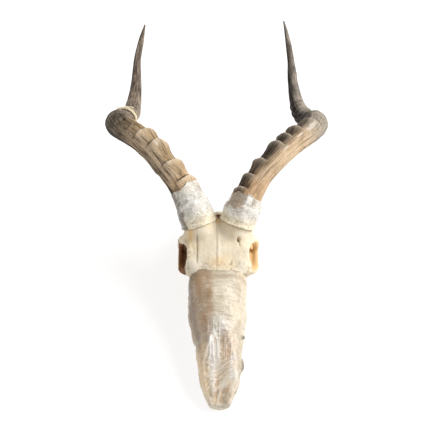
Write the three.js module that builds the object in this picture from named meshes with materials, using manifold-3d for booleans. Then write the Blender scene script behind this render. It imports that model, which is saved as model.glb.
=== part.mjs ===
// Impala skull with both horns, without its lower jaw. Cling film wraps the snout and
// the foot of each horn, and an elastic tie is wound round the left horn above its bend.
// Millimetres, +Z up. The skull rests palate down, its snout points to -Y, and -X is the
// side called left here. The origin is under the middle of the whole, at the floor.
import * as THREE from "three";
import { mergeVertices } from "three/addons/utils/BufferGeometryUtils.js";
import Module from "manifold-3d";

// ---- Driving dimensions -------------------------------------------------------------

// The skull is drawn from a point under the horns; this is where the middle of the
// whole lies from there.
const MIDDLE = { across: -2.5, back: 29.7 };

// Clearance between pieces that touch
const GAP = 0.35;

// Cross-sections of the skull, front to back:
// [back, half width, top, bottom, taper (how far the sides lean in towards the top)]
const MUZZLE = [
  [-226, 9, 13, 5, 0.1],
  [-206, 15, 27, 5, 0.1],
  [-182, 20, 41, 6, 0.15],
  [-156, 24.5, 54.5, 8, 0.2],
  [-126, 30.5, 66.5, 9, 0.25],
  [-98, 34, 76, 10, 0.22],
  [-70, 35, 84, 14, 0.18],
  [-45, 29, 91, 24, 0],
  [-20, 26, 98, 28, 0],
  [6, 26, 104, 30, 0],
];
const FRONTAL_PLATE = [
  [-58, 22, 85, 75, 0],
  [-50, 37, 89, 78, 0],
  [-32, 41, 96, 84, 0],
  [-14, 42, 102, 87, 0],
  [0, 38, 106, 88, 0],
  [12, 30, 100, 84, 0],
];
const BRAINCASE = [
  [-25, 25, 95, 34, 0],
  [-5, 31, 103, 30, 0],
  [10, 35, 101, 27, 0.05],
  [24, 36, 91, 25, 0.1],
  [36, 34, 77, 24, 0.12],
  [47, 29, 61, 25, 0.1],
  [56, 18, 46, 26, 0],
];

// Rim of the right eye socket as a closed loop, [across, back, up]
const SOCKET_RIM = [
  [42.5, -34, 88],
  [43.5, -50, 80],
  [44.5, -58, 66],
  [49, -50, 53],
  [51.8, -33, 48],
  [52.3, -16, 55],
  [52.8, -12, 68],
  [50, -15, 81],
];
const RIM_RADIUS = 4.2;
// The cheek is a bulge of bone on each side, and the eye socket is hollowed out of it.
const CHEEK = { at: [31, -36, 57], half: [21, 23, 21] };
const SOCKET = { at: [48, -33, 69], half: [22, 19, 18] };

// Bars of bone that are tapered rods: [across, back, up, radius] along the right side
const CHEEK_BUTTRESS = [
  [24, -58, 44, 11],
  [34, -53, 47, 9],
  [47, -42, 49, 5],
];
const BROW_BAR = [
  [34, -8, 95, 8],
  [44, -14, 87, 6],
  [51, -14, 73, 4.6],
];
const CHEEK_ARCH = [
  [50, -38, 47, 4.8],
  [51, -16, 45, 4.6],
  [48, 4, 46, 4.8],
  [34, 18, 47, 8],
];
const EAR_TUBE = [
  [28, 20, 42, 7],
  [39, 22, 45, 5],
];
const NECK_PROCESS = [
  [28, 44, 44, 9],
  [28, 43, 18, 6],
  [26.5, 40, -2, 3.6],
];
const PTERYGOID = [
  [12, -44, 24, 3.4],
  [11, -26, 19, 3],
  [10, -6, 24, 3.4],
];
const HORN_CORE = [
  [18, -12, 78, 21],
  [24, -6, 95, 21.2],
  [31, 7, 109, 20.6],
];

// Ellipsoids: centre, then half sizes
const CONDYLE = { at: [12, 55, 28], half: [9, 9, 10] };
const EAR_BULLA = { at: [18, 27, 20], half: [8, 12, 11] };
const NAPE_CREST = { at: [0, 46, 59], half: [28, 5, 5] };
const SPINAL_OPENING = { at: [0, 61, 37], half: [8.5, 18, 8] };
const NOSE_OPENING = { at: [0, -194, 40], half: [10, 38, 13], pitch: 31 };
const PALATE_HOLLOW = { at: [0, -110, 5], half: [14.5, 74, 13], pitch: 0 };
const BACK_OF_PALATE = { at: [0, -34, 22], half: [9.5, 26, 15], pitch: 0 };
const BROW_HOLE = { at: [27, -26, 97], half: [2.4, 3.2, 7], pitch: 0 };

const TEETH = { perSide: 6, first: -138, pitch: 11.4, frontAcross: 17.4, rearAcross: 20,
  width: 9, length: 10.6, bottom: 1.6, top: 20 };

// Axis of each horn, foot to tip: [across, back, up, radius of the sheath]
const LEFT_HORN = [
  [-24, -6, 95, 21.4],
  [-33, 12, 114, 21.2],
  [-45.5, 32, 131, 18.8],
  [-60, 49, 143, 17],
  [-76, 65, 152, 16.6],
  [-92, 84, 159, 16.6],
  [-114, 105, 162, 17],
  [-136, 127, 157, 17.5],
  [-145, 149, 144, 17.7],
  [-138, 170, 129, 15.2],
  [-129.5, 191, 120.5, 13],
  [-127, 210, 120, 11],
  [-125, 227, 125, 9.4],
  [-123.5, 245, 135, 7.6],
  [-121.5, 265, 159, 5.4],
  [-114.5, 279, 186, 3.9],
  [-108, 287, 209, 0.9],
];
const RIGHT_HORN = [
  [24, -6, 95, 21.4],
  [33, 12, 114, 21.2],
  [44, 31, 130, 18.6],
  [57, 47, 142, 16.8],
  [73, 64, 152, 16.4],
  [91, 82, 158, 16.6],
  [112, 103, 160, 17],
  [132, 125, 156, 17.5],
  [140, 148, 143, 17.7],
  [133, 169, 128.5, 15],
  [125, 190, 119, 12.4],
  [119.5, 209, 119, 10.8],
  [116, 226, 124, 9.3],
  [113, 245, 135, 7.5],
  [109.5, 265, 159, 5.4],
  [104, 279, 186, 4],
  [97, 292, 212, 0.9],
];
const SHEATH_FOOT = 8; // distance along the axis at which the sheath begins

// Growth rings: distance of each crest along the axis, and how far it stands out
const LEFT_RINGS = [
  [38, 1.6], [66, 3.8], [94, 5], [127, 5.2], [149, 5.4], [166, 2.4], [186, 1.3], [204, 1.3],
  [221, 1.2], [237, 1.1], [252, 1], [266, 0.9], [279, 0.8], [291, 0.7], [302, 0.6],
];
const RIGHT_RINGS = [
  [32, 1.6], [51, 3.4], [71, 4], [95, 4.2], [125, 4.6], [140, 4.8], [160, 3.8], [184, 1.3],
  [203, 1.3], [221, 1.2], [238, 1.2], [253, 1.2], [267, 1.3], [280, 1.2], [291, 0.9],
];
// Between two crests the surface rises slowly up to a share of the way, then dips a
// little before the steep fall. The rings die out round the back, over these angles in
// radians from their middle.
const RING = { risesFor: 0.9, steepness: 2.2, dip: 0.15, fullTo: 1, goneAt: 2.1 };
const CREST_DROP = 1.6; // length of the steep fall after a crest
// A crest swings towards the tip on the horn's front, which lies at an angle from the
// rings' middle. The swing grows above the foot and dies out towards the tip.
const SWING = { reach: 6, front: 0.75, grownAt: 60, fadesFrom: 140, goneAt: 30 };

const FILM = 1.1; // thickness of a few layers of cling film
// Film bag on the snout: [back, half width, top, bottom, taper, how far it sags aside]
const SNOUT_FILM = [
  [-233, 7, 12, 2, 0, 1],
  [-229, 14, 18, -1, 0, 1.6],
  [-214, 20.6, 29, -4, 0.08, 1.6],
  [-194, 26.6, 40, -5, 0.12, 1.4],
  [-158, 29.6, 58.5, -6, 0.18, 0.6],
  [-126, 35, 70.5, -6, 0.22, -0.4],
  [-98, 38.8, 80, -6, 0.2, -0.8],
  [-66, 39, 89, -5, 0.16, -0.4],
];
const LEFT_FILM_TOP = 60; // where the film ends on each horn, as a distance along its axis
const RIGHT_FILM_TOP = 48;

// Elastic tie: where it lies along the horn, how far it slants there, and its cord
const TIE = { along: 248, slant: 9, strand: 1.5, turnPitch: 2.6, turns: 2, knot: 2.6,
  knotAngle: 5, tail: 9, tailLift: 1.5 };
const TIE_CLEARANCE = 0.95; // the horn is faceted, so the cord passes a little outside it

// ---- Shapes -------------------------------------------------------------------------

const wasm = await Module();
wasm.setup();

// Powers that keep the sign: they square up an ellipse.
const signedPower = (value, power) => Math.sign(value) * Math.abs(value) ** power;

// A smooth curve through rows of numbers (uniform Catmull-Rom), for share 0 to 1.
function between(rows, share) {
  const place = Math.min(Math.max(share, 0), 1) * (rows.length - 1);
  const first = Math.min(Math.floor(place), rows.length - 2);
  const t = place - first;
  return rows[0].map((_, i) => {
    const b = rows[first][i];
    const c = rows[first + 1][i];
    const a = first > 0 ? rows[first - 1][i] : 2 * b - c;
    const d = first + 2 < rows.length ? rows[first + 2][i] : 2 * c - b;
    return b + 0.5 * t * (c - a + t * (2 * a - 5 * b + 4 * c - d + t * (3 * (b - c) + d - a)));
  });
}

// Triangles over rings of points, all rings alike in number. Open ends are closed with a
// fan round their middle; a loop of rings joins its last ring to its first.
function skin(rings, loop = false) {
  const around = rings[0].length;
  const points = rings.flat();
  const faces = [];
  const count = loop ? rings.length : rings.length - 1;
  for (let row = 0; row < count; row++) {
    const next = (row + 1) % rings.length;
    for (let i = 0; i < around; i++) {
      const j = (i + 1) % around;
      const [a, b] = [row * around + i, row * around + j];
      const [c, d] = [next * around + i, next * around + j];
      faces.push(a, b, d, a, d, c);
    }
  }
  if (!loop) {
    for (const end of [0, rings.length - 1]) {
      const middle = new THREE.Vector3();
      rings[end].forEach((p) => middle.addScaledVector(p, 1 / around));
      points.push(middle);
      for (let i = 0; i < around; i++) {
        const [a, b] = [end * around + i, end * around + ((i + 1) % around)];
        if (end === 0) faces.push(points.length - 1, b, a);
        else faces.push(points.length - 1, a, b);
      }
    }
  }
  const geometry = new THREE.BufferGeometry().setFromPoints(points);
  geometry.setIndex(faces);
  return geometry;
}

// A closed geometry as a manifold solid, turned right side out.
function solid(geometry) {
  const bare = geometry.clone();
  bare.deleteAttribute("normal");
  bare.deleteAttribute("uv");
  const merged = mergeVertices(bare, 1e-4);
  const position = merged.attributes.position;
  const index = Array.from(merged.index.array);
  const [a, b, c] = [new THREE.Vector3(), new THREE.Vector3(), new THREE.Vector3()];
  let volume = 0;
  for (let i = 0; i < index.length; i += 3) {
    a.fromBufferAttribute(position, index[i]);
    b.fromBufferAttribute(position, index[i + 1]);
    c.fromBufferAttribute(position, index[i + 2]);
    volume += a.dot(b.cross(c));
  }
  if (volume < 0) {
    for (let i = 0; i < index.length; i += 3) {
      [index[i + 1], index[i + 2]] = [index[i + 2], index[i + 1]];
    }
  }
  const mesh = new wasm.Mesh({
    numProp: 3,
    vertProperties: new Float32Array(position.array),
    triVerts: new Uint32Array(index),
  });
  return new wasm.Manifold(mesh);
}

const unite = (solids) => solids.reduce((whole, piece) => whole.add(piece));

// The same solid on both sides of the skull: make(1) is the right one, make(-1) the left.
const bothSides = (make) => make(1).add(make(-1));

const SQUARENESS = 0.8; // 1 gives an ellipse, less gives fuller corners

// One cross-section: a squared ellipse between bottom and top, its sides leaning in.
function sectionRing([back, halfWidth, top, bottom, taper, aside = 0], around, least) {
  const ring = [];
  for (let i = 0; i < around; i++) {
    const angle = (2 * Math.PI * i) / around;
    const side = signedPower(Math.cos(angle), SQUARENESS);
    const height = signedPower(Math.sin(angle), SQUARENESS);
    const up = (top + bottom) / 2 + ((top - bottom) / 2) * height;
    const across = aside + halfWidth * side * (1 - taper * height);
    ring.push(new THREE.Vector3(across, back, Math.max(up, least)));
  }
  return ring;
}

// A body carried through a list of cross-sections, with this many rows and points round it.
function loft(sections, rows, around, least = -Infinity) {
  const rings = [];
  for (let row = 0; row <= rows; row++) {
    rings.push(sectionRing(between(sections, row / rows), around, least));
  }
  return skin(rings);
}

// A round bar through [across, back, up, radius] stations, on the right or left side.
function rod(stations, side, steps = 3, around = 6) {
  const at = (share) => {
    const [x, y, z, radius] = between(stations, share);
    return { centre: new THREE.Vector3(side * x, y, z), radius };
  };
  const rings = [];
  for (let step = 0; step <= steps; step++) {
    const share = step / steps;
    const ahead = at(Math.min(share + 0.02, 1)).centre;
    const along = ahead.sub(at(Math.max(share - 0.02, 0)).centre).normalize();
    const u = new THREE.Vector3(along.z, along.x, along.y).cross(along).normalize();
    const v = new THREE.Vector3().crossVectors(along, u);
    const { centre, radius } = at(share);
    const ring = [];
    for (let i = 0; i < around; i++) {
      const angle = (2 * Math.PI * i) / around;
      const out = u.clone().multiplyScalar(radius * Math.cos(angle));
      ring.push(out.addScaledVector(v, radius * Math.sin(angle)).add(centre));
    }
    rings.push(ring);
  }
  return skin(rings);
}

function ellipsoid({ at, half, pitch = 0 }, side, around = 9) {
  const ball = new THREE.SphereGeometry(1, around, Math.round(around * 0.7));
  ball.rotateX(Math.PI / 2);
  ball.scale(...half);
  ball.rotateX(THREE.MathUtils.degToRad(pitch));
  return ball.translate(side * at[0], at[1], at[2]);
}

// ---- Skull --------------------------------------------------------------------------

// Rim of an eye socket: a round bar bent into a closed loop.
function socketRim(side) {
  const points = SOCKET_RIM.map(([x, y, z]) => new THREE.Vector3(side * x, y, z));
  const loop = new THREE.CatmullRomCurve3(points, true);
  return new THREE.TubeGeometry(loop, 14, RIM_RADIUS, 6, true);
}

// A cheek tooth: a block with rounded corners and a waist between its two lobes.
function tooth(side, number) {
  const { perSide, first, pitch, frontAcross, rearAcross, width, length, bottom, top } = TEETH;
  const across = THREE.MathUtils.lerp(frontAcross, rearAcross, number / (perSide - 1));
  const outline = new THREE.Shape();
  const lobes = 2;
  const corners = 6;
  for (let i = 0; i < corners; i++) {
    const angle = (2 * Math.PI * i) / corners;
    const waist = 1 - 0.12 * (1 + Math.cos(2 * lobes * angle)) * Math.abs(Math.cos(angle));
    const x = (width / 2) * waist * signedPower(Math.cos(angle), 0.7);
    const y = (length / 2) * signedPower(Math.sin(angle), 0.7);
    if (i === 0) outline.moveTo(x, y);
    else outline.lineTo(x, y);
  }
  const block = new THREE.ExtrudeGeometry(outline, { depth: top - bottom, bevelEnabled: false });
  return block.translate(side * across, first + number * pitch, bottom);
}

// Room for a horn: a cylinder along the horn's axis from just below the sheath's foot.
function hornSeat(axis) {
  const { centre, along } = axis.at(SHEATH_FOOT - GAP);
  const seatRadius = 25;
  const seatLength = 60;
  const room = new THREE.CylinderGeometry(seatRadius, seatRadius, seatLength, 12);
  room.translate(0, seatLength / 2, 0);
  const turn = new THREE.Quaternion();
  turn.setFromUnitVectors(new THREE.Vector3(0, 1, 0), along);
  return room.applyQuaternion(turn).translate(centre.x, centre.y, centre.z);
}

function makeSkull(axes) {
  const hollowed = unite([
    solid(loft(MUZZLE, 10, 12)),
    solid(loft(FRONTAL_PLATE, 6, 12)),
    solid(loft(BRAINCASE, 7, 12)),
    bothSides((side) => solid(ellipsoid(CHEEK, side, 10))),
  ]).subtract(bothSides((side) => solid(ellipsoid(SOCKET, side, 11))));
  const bone = [
    hollowed,
    solid(ellipsoid(NAPE_CREST, 1)),
    bothSides((side) => solid(socketRim(side))),
    bothSides((side) => solid(ellipsoid(CONDYLE, side))),
    bothSides((side) => solid(ellipsoid(EAR_BULLA, side))),
  ];
  const bars = [CHEEK_BUTTRESS, BROW_BAR, CHEEK_ARCH, EAR_TUBE, NECK_PROCESS, PTERYGOID];
  for (const bar of bars) bone.push(bothSides((side) => solid(rod(bar, side))));
  bone.push(bothSides((side) => solid(rod(HORN_CORE, side, 2, 12))));
  for (let number = 0; number < TEETH.perSide; number++) {
    bone.push(bothSides((side) => solid(tooth(side, number))));
  }
  const hollows = [
    solid(ellipsoid(SPINAL_OPENING, 1)),
    solid(ellipsoid(NOSE_OPENING, 1)),
    solid(ellipsoid(PALATE_HOLLOW, 1)),
    solid(ellipsoid(BACK_OF_PALATE, 1)),
    bothSides((side) => solid(ellipsoid(BROW_HOLE, side, 8))),
    ...axes.map((axis) => solid(hornSeat(axis))),
  ];
  // The neck processes are cut off level where they stand.
  const floor = solid(new THREE.BoxGeometry(400, 800, 20).translate(0, 0, -10));
  return unite(bone).subtract(unite([...hollows, floor]));
}

// ---- Horns --------------------------------------------------------------------------

// A horn's axis, measured by distance from its foot. side is 1 on the right, -1 on the
// left. The rings' middle faces up and inwards.
function hornAxis(stations, side) {
  const samples = 400;
  const lengths = [0];
  const at = (share) => new THREE.Vector3(...between(stations, share));
  for (let i = 1; i <= samples; i++) {
    const step = at(i / samples).distanceTo(at((i - 1) / samples));
    lengths.push(lengths[i - 1] + step);
  }
  const shareAt = (distance) => {
    const i = Math.max(lengths.findIndex((length) => length >= distance), 1);
    const part = (distance - lengths[i - 1]) / (lengths[i] - lengths[i - 1]);
    return (i - 1 + Math.min(part, 1)) / samples;
  };
  return {
    side,
    length: lengths[samples],
    at(distance) {
      const share = shareAt(Math.min(Math.max(distance, 0), lengths[samples]));
      const centre = at(share);
      const ahead = at(Math.min(share + 0.01, 1));
      const along = ahead.sub(at(Math.max(share - 0.01, 0))).normalize();
      const inner = new THREE.Vector3(-0.5 * side, -0.05, 0.86);
      inner.addScaledVector(along, -inner.dot(along)).normalize();
      const across = new THREE.Vector3().crossVectors(along, inner);
      return { centre, along, inner, across, radius: between(stations, share)[3] };
    },
  };
}

// How far the rings lift the surface at a distance along the axis and an angle round it.
function ringLift(rings, distance, angle) {
  const next = rings.findIndex(([crest]) => crest >= distance);
  if (next < 0) return 0;
  const start = next > 0 ? rings[next - 1][0] : SHEATH_FOOT;
  const [crest, height] = rings[next];
  const share = (distance - start) / (crest - start);
  const past = (share - RING.risesFor) / (1 - RING.risesFor);
  const rise = past < 0 ? (share / RING.risesFor) ** RING.steepness : 1 - RING.dip * past;
  const turned = Math.abs(Math.atan2(Math.sin(angle), Math.cos(angle)));
  const reach = THREE.MathUtils.smoothstep(RING.goneAt - turned, 0, RING.goneAt - RING.fullTo);
  return height * rise * reach;
}

const AROUND = 14; // points round a horn
const TIP_ROWS = 6; // rows between the last ring and the tip
const LONG_GAP = 16; // rings further apart than this have rows between them
const ROWS_BETWEEN = [0.5, 0.85];

// Distances at which a horn has a ring of points: close together at each crest.
function hornRows(rings, length) {
  const rows = [SHEATH_FOOT];
  let start = SHEATH_FOOT;
  for (const [crest] of rings) {
    const gap = crest - start;
    if (gap > LONG_GAP) ROWS_BETWEEN.forEach((share) => rows.push(start + share * gap));
    rows.push(crest, crest + CREST_DROP);
    start = crest;
  }
  start += CREST_DROP;
  const end = length - 1;
  for (let i = 1; i <= TIP_ROWS; i++) rows.push(start + ((end - start) * i) / TIP_ROWS);
  return rows;
}

// The horn's surface at one row, lifted by extra for what is wrapped round it, and slanted
// by moving its sides along the horn.
function hornRing(axis, rings, row, extra = 0, slant = 0) {
  const grown = THREE.MathUtils.smoothstep(row, SHEATH_FOOT, SWING.grownAt);
  const left = THREE.MathUtils.smoothstep(axis.length - row, SWING.goneAt, SWING.fadesFrom);
  const ring = [];
  for (let i = 0; i < AROUND; i++) {
    const angle = (2 * Math.PI * i) / AROUND;
    const swing = SWING.reach * grown * left * Math.cos(angle - axis.side * SWING.front);
    const { centre, inner, across, radius } = axis.at(row + swing + slant * Math.sin(angle));
    const out = radius + ringLift(rings, row, angle) + extra;
    const point = centre.addScaledVector(inner, out * Math.cos(angle));
    ring.push(point.addScaledVector(across, out * Math.sin(angle)));
  }
  return ring;
}

function makeHorn(axis, rings) {
  return solid(skin(hornRows(rings, axis.length).map((row) => hornRing(axis, rings, row))));
}

// Film wound round a horn's foot: a sleeve with an inner and an outer skin.
function makeHornFilm(axis, rings, top) {
  const covered = hornRows(rings, axis.length).filter((row) => row > SHEATH_FOOT && row < top);
  const rows = [SHEATH_FOOT + 1, ...covered];
  const inside = rows.map((row) => hornRing(axis, rings, row, GAP));
  const outside = rows.map((row) => hornRing(axis, rings, row, GAP + FILM));
  return solid(skin([...outside, ...inside.reverse()], true));
}

// Elastic tie: turns of cord side by side round the horn, with a knot and a loose end.
function makeTie(axis, rings) {
  const { along, slant, strand, turnPitch, turns, knot, knotAngle, tail, tailLift } = TIE;
  const ringAt = (row) => hornRing(axis, rings, row, TIE_CLEARANCE + strand, slant);
  const cords = [];
  for (let turn = 0; turn < turns; turn++) {
    const loop = new THREE.CatmullRomCurve3(ringAt(along + turn * turnPitch), true);
    cords.push(solid(new THREE.TubeGeometry(loop, AROUND, strand, 4, true)));
  }
  const middleRow = along + ((turns - 1) * turnPitch) / 2;
  const knotPoint = Math.round((knotAngle / (2 * Math.PI)) * AROUND);
  const onHorn = ringAt(middleRow)[knotPoint];
  const out = onHorn.clone().sub(axis.at(middleRow).centre).normalize();
  const seat = onHorn.clone().addScaledVector(out, knot / 2);
  const ball = new THREE.SphereGeometry(knot, 7, 5);
  cords.push(solid(ball.translate(seat.x, seat.y, seat.z)));
  const end = seat.clone().addScaledVector(axis.at(middleRow).along, tail);
  const middle = seat.clone().lerp(end, 0.5).addScaledVector(out, tailLift);
  const stations = [seat, middle, end].map((p) => [p.x, p.y, p.z, strand]);
  cords.push(solid(rod(stations, 1, 3, 5)));
  return unite(cords);
}

// ---- Snout film ---------------------------------------------------------------------

// A bag drawn over the snout, open at the back. Its underside is flat where it rests.
function makeSnoutFilm() {
  const rows = 11;
  const around = 18;
  const outer = solid(loft(SNOUT_FILM, rows, around, 0));
  const open = 1; // the inner skin runs on past the outer one, so the bag is open there
  const inset = SNOUT_FILM.map(([back, halfWidth, top, bottom, taper, aside], i) => {
    const shift = i === 0 ? FILM : i === SNOUT_FILM.length - 1 ? open : 0;
    return [back + shift, halfWidth - FILM, top - FILM, bottom + FILM, taper, aside];
  });
  return outer.subtract(solid(loft(inset, rows, around, FILM)));
}

// ---- The object ---------------------------------------------------------------------

const bone = new THREE.MeshStandardMaterial({ color: 0xe6dac0, roughness: 0.75 });
const horn = new THREE.MeshStandardMaterial({ color: 0x7d6a56, roughness: 0.6 });
const film = new THREE.MeshStandardMaterial({
  color: 0xe9e6df, roughness: 0.2, transparent: true, opacity: 0.4,
});
const cord = new THREE.MeshStandardMaterial({ color: 0xe8dcae, roughness: 0.8 });

const assembly = new THREE.Group();
assembly.position.set(-MIDDLE.across, -MIDDLE.back, 0);

function addPiece(name, shape, material) {
  const { numProp, vertProperties, triVerts } = shape.getMesh();
  const geometry = new THREE.BufferGeometry();
  geometry.setAttribute("position", new THREE.BufferAttribute(vertProperties, numProp));
  geometry.setIndex(new THREE.BufferAttribute(triVerts, 1));
  geometry.computeVertexNormals();
  const mesh = new THREE.Mesh(geometry, material);
  mesh.name = name;
  assembly.add(mesh);
}

const leftAxis = hornAxis(LEFT_HORN, -1);
const rightAxis = hornAxis(RIGHT_HORN, 1);

addPiece("skull", makeSkull([leftAxis, rightAxis]), bone);
addPiece("horn_left", makeHorn(leftAxis, LEFT_RINGS), horn);
addPiece("horn_right", makeHorn(rightAxis, RIGHT_RINGS), horn);
addPiece("snout_film", makeSnoutFilm(), film);
addPiece("horn_film_left", makeHornFilm(leftAxis, LEFT_RINGS, LEFT_FILM_TOP), film);
addPiece("horn_film_right", makeHornFilm(rightAxis, RIGHT_RINGS, RIGHT_FILM_TOP), film);
addPiece("horn_tie", makeTie(leftAxis, LEFT_RINGS), cord);

export default assembly;
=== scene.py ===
import math

import bpy
import numpy as np
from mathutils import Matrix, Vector


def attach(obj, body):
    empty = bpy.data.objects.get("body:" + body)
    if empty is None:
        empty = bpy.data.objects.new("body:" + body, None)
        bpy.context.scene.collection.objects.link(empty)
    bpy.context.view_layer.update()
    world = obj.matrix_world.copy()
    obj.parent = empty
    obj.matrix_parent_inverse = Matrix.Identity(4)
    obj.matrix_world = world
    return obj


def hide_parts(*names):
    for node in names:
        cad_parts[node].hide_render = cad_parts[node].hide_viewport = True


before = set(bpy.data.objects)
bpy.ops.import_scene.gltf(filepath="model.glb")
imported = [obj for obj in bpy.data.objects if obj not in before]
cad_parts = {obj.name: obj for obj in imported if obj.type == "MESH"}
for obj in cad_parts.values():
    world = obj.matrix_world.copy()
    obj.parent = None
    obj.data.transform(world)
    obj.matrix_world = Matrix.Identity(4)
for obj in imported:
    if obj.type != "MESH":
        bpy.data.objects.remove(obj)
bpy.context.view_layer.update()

# ---- Skull --------------------------------------------------------------------------
# The skull of a grown impala ram without its lower jaw: one piece of grown bone, cleaned
# and dried. Thin plates meet in crooked seams, and the horn cores stand on its forehead.
# It rests on the wrapped snout and on the two processes at the back.

# The skull is drawn in millimetres from a point under the horns, as the CAD source is;
# this is where that point lies in the frame.
DRAWN_FROM = np.array([2.5, -29.7, 0.0])

# Cross-sections, front to back: [back, half width, top, bottom, lean of the sides]
MUZZLE = [
    [-226, 9, 13, 5, 0.1], [-206, 15, 27, 5, 0.1], [-182, 20, 41, 6, 0.15],
    [-156, 24.5, 54.5, 8, 0.2], [-126, 30.5, 66.5, 9, 0.25], [-98, 34, 76, 10, 0.22],
    [-70, 35, 84, 14, 0.18], [-45, 29, 91, 24, 0], [-20, 26, 98, 28, 0], [6, 26, 104, 30, 0],
]
FRONTAL_PLATE = [
    [-74, 31, 80.5, 66, 0], [-60, 35, 84.5, 71, 0], [-50, 38, 89, 77, 0], [-32, 41, 96, 84, 0],
    [-14, 42, 102, 87, 0], [0, 38, 106, 88, 0], [12, 30, 100, 84, 0],
]
BRAINCASE = [
    [-25, 25, 95, 34, 0], [-5, 31, 103, 30, 0], [10, 35, 101, 27, 0.05],
    [24, 36, 91, 25, 0.1], [36, 34, 77, 24, 0.12], [47, 29, 61, 25, 0.1], [56, 18, 46, 26, 0],
]
# Bars of bone as tapered rods along one side: [across, back, up, radius]
SOCKET_RIM = [
    [38.5, -34, 89, 2.6], [39, -49, 82, 2.8], [42, -53, 67, 3.8], [47, -48.5, 54.5, 3.8],
    [51.6, -40.5, 49, 4], [52.3, -16, 55, 4.2], [52.3, -12, 68, 4.2], [49, -14, 82, 4],
]
BARS = {
    "cheek buttress": [[24, -58, 44, 11], [29, -51, 49, 8.5], [45, -41, 51, 4.2]],
    "floor of socket": [[40, -32, 49, 6], [42.5, -14, 50, 6], [42, 2, 50, 6]],
    "brow bar": [[34, -8, 95, 8], [44, -14, 87, 6], [51, -14, 73, 4.6]],
    "back of socket": [[42, -4, 82, 5], [44, -1, 66, 5], [45, 2, 52, 5]],
    "cheek arch": [[50, -38, 47, 4.8], [51, -16, 45, 4.6], [48, 4, 46, 4.8], [34, 18, 47, 8]],
    "ear tube": [[28, 20, 42, 7], [39, 22, 45, 5]],
    "neck process": [[28, 44, 44, 9], [28, 43, 18, 6], [26.5, 40, -2, 3.6]],
    "pterygoid": [[12, -44, 24, 3.4], [11, -26, 19, 3], [10, -6, 24, 3.4]],
    "horn core": [[18, -12, 78, 21], [24, -6, 95, 21.2], [31, 7, 109, 20.6]],
}
# Ellipsoids: [centre], [half sizes], and the pitch in degrees
CHEEK = [[31, -36, 57], [21, 23, 21], 0]
SOCKET = [[48, -33, 69], [22, 19, 18], 0]
TEAR_BONE = [[33, -55, 70], [11, 8, 14], 0]
CONDYLE = [[12, 55, 28], [9, 9, 10], 0]
EAR_BULLA = [[18, 27, 20], [8, 12, 11], 0]
NAPE_CREST = [[0, 46, 59], [28, 5, 5], 0]
SPINAL_OPENING = [[0, 61, 37], [8.5, 18, 8], 0]
NOSE_OPENING = [[0, -194, 40], [10, 38, 13], 31]
PALATE_HOLLOW = [[0, -110, 5], [14.5, 74, 13], 0]
BACK_OF_PALATE = [[0, -34, 22], [9.5, 26, 15], 0]
BROW_HOLE = [[27, -26, 97], [2.4, 3.2, 7], 0]
EAR_HOLE = [[42, 22.5, 45.5], [6, 2.6, 2.6], 0]
# The sheath's foot, where the bone ends, and the horn's direction there
HORN_SEAT = {"at": [26.4, -1.1, 100.3], "along": [0.31, 0.643, 0.7], "radius": 25.6}
# Cheek teeth: middle of the first one, spacing, and how far out the end ones stand
TEETH = {"per_side": 6, "first": -138, "pitch": 11.4, "front": 17.4, "rear": 20,
         "width": 9, "length": 10.6, "bottom": 1.6, "top": 20}


def in_frame(points):
    """Points drawn in millimetres, moved to the frame and turned to metres."""
    return (np.asarray(points) + DRAWN_FROM) / 1000


def between(rows, share):
    """A smooth curve through rows of numbers (uniform Catmull-Rom), for shares 0 to 1."""
    rows = np.asarray(rows, float)
    place = np.clip(share, 0, 1) * (len(rows) - 1)
    first = np.minimum(place.astype(int), len(rows) - 2)
    t = (place - first)[..., None]
    longer = np.vstack([2 * rows[0] - rows[1], rows, 2 * rows[-1] - rows[-2]])
    a, b, c, d = (longer[first + i] for i in range(4))
    return b + 0.5 * t * (c - a + t * (2 * a - 5 * b + 4 * c - d + t * (3 * (b - c) + d - a)))


def smooth(value, start, end):
    """0 before start, 1 after end, and an S-curve between them."""
    t = np.clip((value - start) / (end - start), 0, 1)
    return t * t * (3 - 2 * t)


def band(value, start, full, easing, end):
    """1 from full to easing, and 0 before start and after end, with S-curves between."""
    return smooth(value, start, full) * (1 - smooth(value, easing, end))


def bell(value):
    """1 where the value is zero, and fading out on both sides: e to the minus its square."""
    return np.exp(-(value**2))


def unit(vectors):
    """The same directions with a length of 1."""
    return vectors / np.maximum(np.linalg.norm(vectors, axis=-1, keepdims=True), 1e-9)


def noise(points, size, seed):
    """Random values from -1 to 1 that change smoothly over lumps of the given size:
    random numbers on a lattice that repeats every 32 cells, blended between its corners."""
    lattice = np.random.default_rng(seed).uniform(-1, 1, (32, 32, 32))
    place = points / np.asarray(size, float)
    cell = np.floor(place).astype(int)
    part = place - cell
    part = part * part * (3 - 2 * part)
    value = 0
    for corner in np.ndindex(2, 2, 2):
        i, j, k = np.moveaxis((cell + corner) % 32, -1, 0)
        value = value + np.prod(np.where(corner, part, 1 - part), axis=-1) * lattice[i, j, k]
    return value


def rough(points, size, seed, layers=3):
    """Noise with finer noise on it: each layer is half as large and half as strong."""
    size = np.asarray(size, float)
    return sum(noise(points, size / 2**i, seed + i) / 2**i for i in range(layers))


# The skull is worked out as a field on a lattice: how far each point is outside the bone,
# below zero inside it. Only the right half is worked out, and the left mirrors it.
CELL = 1.15
half_x = (np.arange(51) + 0.5) * CELL
all_y = np.arange(-231, 70, CELL)
all_z = np.arange(-3, 120, CELL)
field = np.full((len(half_x), len(all_y), len(all_z)), 50.0)


def melt(one, other, blend):
    """The union of two fields, with a fillet of about blend where they meet."""
    mixed = np.clip(0.5 + (other - one) / (2 * blend), 0, 1)
    return other + (one - other) * mixed - blend * mixed * (1 - mixed)


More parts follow.
